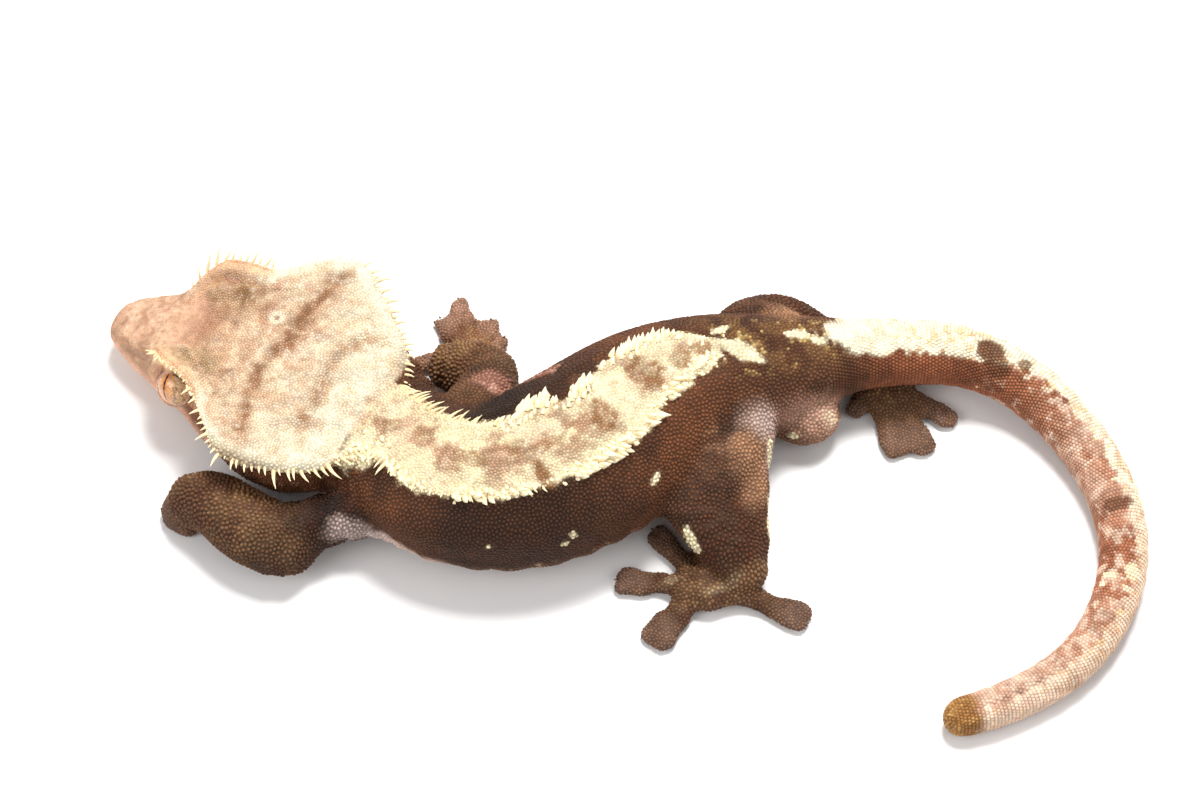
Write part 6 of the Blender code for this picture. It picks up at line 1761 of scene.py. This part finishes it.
def main():
    rng = RNG
    co, n, edges, start, total, corner = make_skin()
    colour, tip, r = markings(co, n)
    # Skin shows only between the scales, where it is painted darker than they are as the shade between them, but not on
    # the lips and lids.
    gap_shade = 0.62 + 0.30 * step(20 - r["b"], 0, 10) * r["share"][:, 0]
    skin = piece("gecko_skin", co, corner, total, colour * gap_shade[:, None])
    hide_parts(*[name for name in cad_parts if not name.startswith("eye")])
    skin_mat = coat_material("skin_leather", 0.62, 0.35, 0.04)
    finish_piece(skin, skin_mat)

    surface = Surface(co, n, start, total, corner)
    spacing_v = spacing_at(co, r)
    weight = 1 / spacing_v ** 2
    count = 460000
    points, normals = surface.sample(count, rng, weight)
    rr = regions(points)
    spacing = spacing_at(points, rr)
    # The tail's scales stand in rings.
    fixed_points = []
    s_row = 78.0
    k = 0
    while s_row < SPINE_LENGTH + 1.2:
        centre, t, left, up, widths = spine_frame(min(s_row, SPINE_LENGTH))
        centre = centre + t * max(0.0, s_row - SPINE_LENGTH)
        girth = 2 * math.pi * math.sqrt((((widths[0] + widths[1]) / 2) ** 2 + ((widths[2] + widths[3]) / 2) ** 2) / 2)
        many = int(girth / 0.50)
        a = (np.arange(many) + 0.5 * (k % 2)) * 2 * math.pi / many
        out = np.where(np.cos(a) > 0, widths[0], widths[1]) * np.cos(a)
        high = np.where(np.sin(a) > 0, widths[2], widths[3]) * np.sin(a)
        fixed_points.append(centre + left * out[:, None] + np.array([0, 0, 1.0]) * high[:, None])
        s_row += 0.48
        k += 1
    rings = np.concatenate(fixed_points)
    rings, ring_n = surface.nearest(rings)
    s_ring = body_measures(rings)[0]
    ok = (s_ring > 76.5) & (rings[:, 2] > 0.0)
    shared = regions(rings)
    ok &= shared["share"][:, 1] > 0.6
    rings, ring_n = rings[ok], ring_n[ok]
    rs = np.full(len(rings), 0.48)
    # Free scales keep off the openings, the lips' line and the tail's rings.
    b, w, h = rr["b"], rr["w"], rr["h"]
    free = np.ones(len(points), bool)
    for sign in (1, -1):
        d, rho, past = lid_measures(points, sign)
        free &= ~((past < 3.0) & (rho < 4.4))
    nb, nw, nh = NOSTRIL_AT
    free &= np.sqrt(((b - nb) / 0.42) ** 2 + ((np.abs(w) - nw) / 0.45) ** 2 + ((h - nh) / 0.36) ** 2) > 1.25
    free &= ~((np.abs(h - MOUTH(np.clip(b, -1, 22))) < 0.22) & (b < 21) & (rr["share"][:, 0] > 0.5))
    free &= ~((rr["s"] > 78.3) & (rr["s"] < 171.3) & (rr["share"][:, 1] > 0.6))
    points, normals, spacing = points[free], normals[free], spacing[free]
    both = np.concatenate([rings, points])
    space = np.concatenate([rs, spacing])
    taken = darts(both, space * 0.88)
    taken[:len(rings)] = True
    near_ring = np.zeros(len(both), bool)
    both, space = both[taken], space[taken]
    fixed = np.zeros(len(both), bool)
    fixed[:len(rings)] = True
    both, normals = relax(both, space, fixed, surface, 6)
    print("scales", len(both))
    colour, tip, r = markings(both, normals)
    r["normal"] = normals
    region = r["share"].argmax(1)
    lie = lie_of(both, r)
    height = space * np.where(np.isin(region, [2, 3, 4, 5, 6, 7, 8, 9, 10]), 0.42, 0.34)
    height = height * np.where(np.isin(region, [REGIONS.index(name) for name in REGIONS if "fore" in name]), 1.35, 1.0)
    height = np.where(r["share"][:, 0] > 0.5, space * np.interp(r["b"], (0, 8, 14, 24), (0.20, 0.22, 0.26, 0.30)), height)
    height = height * np.where(both[:, 2] < 0.5, 0.5, 1.0)
    height *= rng.uniform(0.85, 1.15, len(both))
    radius = space * 0.56 * rng.uniform(0.93, 1.05, len(both))
    stretch = np.where(region == 0, 1.0, 1.08)
    scale_mat = coat_material("scale_horn", 0.56, 0.22, 0.05)
    groups = {}
    s, b = r["s"], r["b"]
    groups["scales_face"] = (region == 0) & (b < 17.5)
    groups["scales_head_left"] = (region == 0) & (b >= 17.5) & (r["w"] > 0)
    groups["scales_head_right"] = (region == 0) & (b >= 17.5) & (r["w"] <= 0)
    groups["scales_trunk_front"] = (region == 1) & (s < 34)
    groups["scales_trunk_rear"] = (region == 1) & (s >= 34) & (s < 66)
    groups["scales_tail"] = (region == 1) & (s >= 66)
    groups["scales_arms"] = np.isin(region, [2, 3, 4, 5, 11, 12])
    groups["scales_legs"] = np.isin(region, [6, 7, 8, 9, 10, 13, 14])
    slots = {"scales_face": "head_skin", "scales_head_left": "head_skin", "scales_head_right": "head_skin", "scales_trunk_front": "body_skin",
             "scales_trunk_rear": "body_skin", "scales_tail": "tail_skin", "scales_arms": "limb_skin", "scales_legs": "limb_skin"}
    # A group with too many scales for one mesh is parted across its length.
    lengthwise = {"scales_face": b, "scales_head_left": b, "scales_head_right": b, "scales_arms": both[:, 0], "scales_legs": both[:, 1]}
    for name in list(groups):
        m, along = groups[name], lengthwise.get(name, s)
        parts = math.ceil(m.sum() / 10400)
        if parts > 1:
            cuts = np.quantile(along[m], np.linspace(0, 1, parts + 1)[1:-1])
            index = np.searchsorted(cuts, along)
            slot = slots.pop(name)
            groups.pop(name)
            for k in range(parts):
                groups[f"{name}_{k + 1}"], slots[f"{name}_{k + 1}"] = m & (index == k), slot
    for name, m in groups.items():
        part = {key: (value[m] if isinstance(value, np.ndarray) else {k: (v[m] if isinstance(v, np.ndarray) else tuple(x[m] for x in v)) for k, v in value.items()})
                for key, value in r.items()}
        kind = "limbs" if name.startswith(("scales_arms", "scales_legs")) else "body"
        uv = unwrap(both[m], part, kind)
        print(name, int(m.sum()), "scales", int(m.sum()) * 18, "triangles")
        obj = dome_piece(name, both[m], normals[m], lie[m], radius[m], height[m], colour[m], tip[m], uv, stretch[m], rng)
        finish_piece(obj, scale_mat)

    # Spines, lashes, tubercles and claws.
    spine_mat = coat_material("spine_horn", 0.42, 0.25, 0.12, cells=False, spread=0.16)
    cream_tip, cream_root = rgb(249, 228, 184), rgb(236, 200, 152)

    def horns(name, rows, width, roots=cream_root, tips=cream_tip, mat=None, slot="head_skin", kind="limbs", **more):
        feet, ways, bends, lengths = rows
        _, uv = at_roots(feet, np.zeros_like(feet) + np.array([0, 0, 1.0]), kind)
        obj = horn_piece(name, feet, ways, bends, lengths, width(lengths), (roots, tips), uv, **more)
        finish_piece(obj, mat or spine_mat)

    horns("crest_spines", crest_spines(surface, rng), lambda n: 0.15 + 0.055 * n, kind="body")
    horns("brow_lashes", brow_lashes(rng), lambda n: 0.10 + 0.05 * n, kind="body")
    horns("back_tubercles", ridge_tubercles(surface, rng), lambda n: 0.24 + 0.17 * n, rgb(230, 202, 152), rgb(248, 234, 198), slot="body_skin", kind="body", squash=1.25)
    claw_mat = claw_material()
    horns("toe_claws", claw_rows(), lambda n: 0.0 * n + 0.14, rgb(126, 98, 80), rgb(92, 72, 58), claw_mat, "limb_skin", rings=6)

    for name, sign in (("eye_left", 1), ("eye_right", -1)):
        ball = eyeball(name + "_ball", sign)
        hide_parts(name)
        finish_piece(ball, eye_material(sign))

    # Floor, light and camera.
    bm = bmesh.new()
    bmesh.ops.create_grid(bm, x_segments=2, y_segments=2, size=1.5)
    floor = object_from("studio_floor", bm)
    bpy.context.scene.collection.objects.link(floor)
    floor.data.materials.append(floor_material())

    world = bpy.data.worlds.new("studio")
    bpy.context.scene.world = world
    world.use_nodes = True
    world.node_tree.nodes["Background"].inputs[0].default_value = (1.0, 1.0, 1.0, 1)
    world.node_tree.nodes["Background"].inputs[1].default_value = 0.48

    def area(name, at, aim, size, watts, colour=(1, 1, 1)):
        light = bpy.data.lights.new(name, "AREA")
        light.shape = "SQUARE"
        light.size = size
        light.energy = watts
        light.color = colour
        obj = bpy.data.objects.new(name, light)
        obj.location = at
        obj.rotation_euler = (Vector(aim) - Vector(at)).to_track_quat("-Z", "Y").to_euler()
        bpy.context.scene.collection.objects.link(obj)

    area("key", (0.06, 0.20, 0.55), (0, 0, 0.01), 0.16, 4.2, (1.0, 0.99, 0.97))
    area("fill", (-0.42, -0.25, 0.42), (0, 0, 0.01), 0.35, 1.5)
    area("side", (0.45, -0.2, 0.4), (0, 0, 0.01), 0.35, 0.7)

    camera = bpy.data.cameras.new("camera")
    camera.sensor_width = 36.0
    camera.lens = 97.11
    camera.clip_start = 0.01
    eye = bpy.data.objects.new("camera", camera)
    eye.location = (SHIFT[0] * MM, (SHIFT[1] - 220.0) * MM, 0.39105)
    eye.rotation_euler = (math.radians(30.0), 0, 0)
    bpy.context.scene.collection.objects.link(eye)
    bpy.context.scene.camera = eye
    scene = bpy.context.scene
    scene.view_settings.view_transform = "Standard"
    scene.view_settings.look = "None"

    bpy.context.view_layer.update()


main()
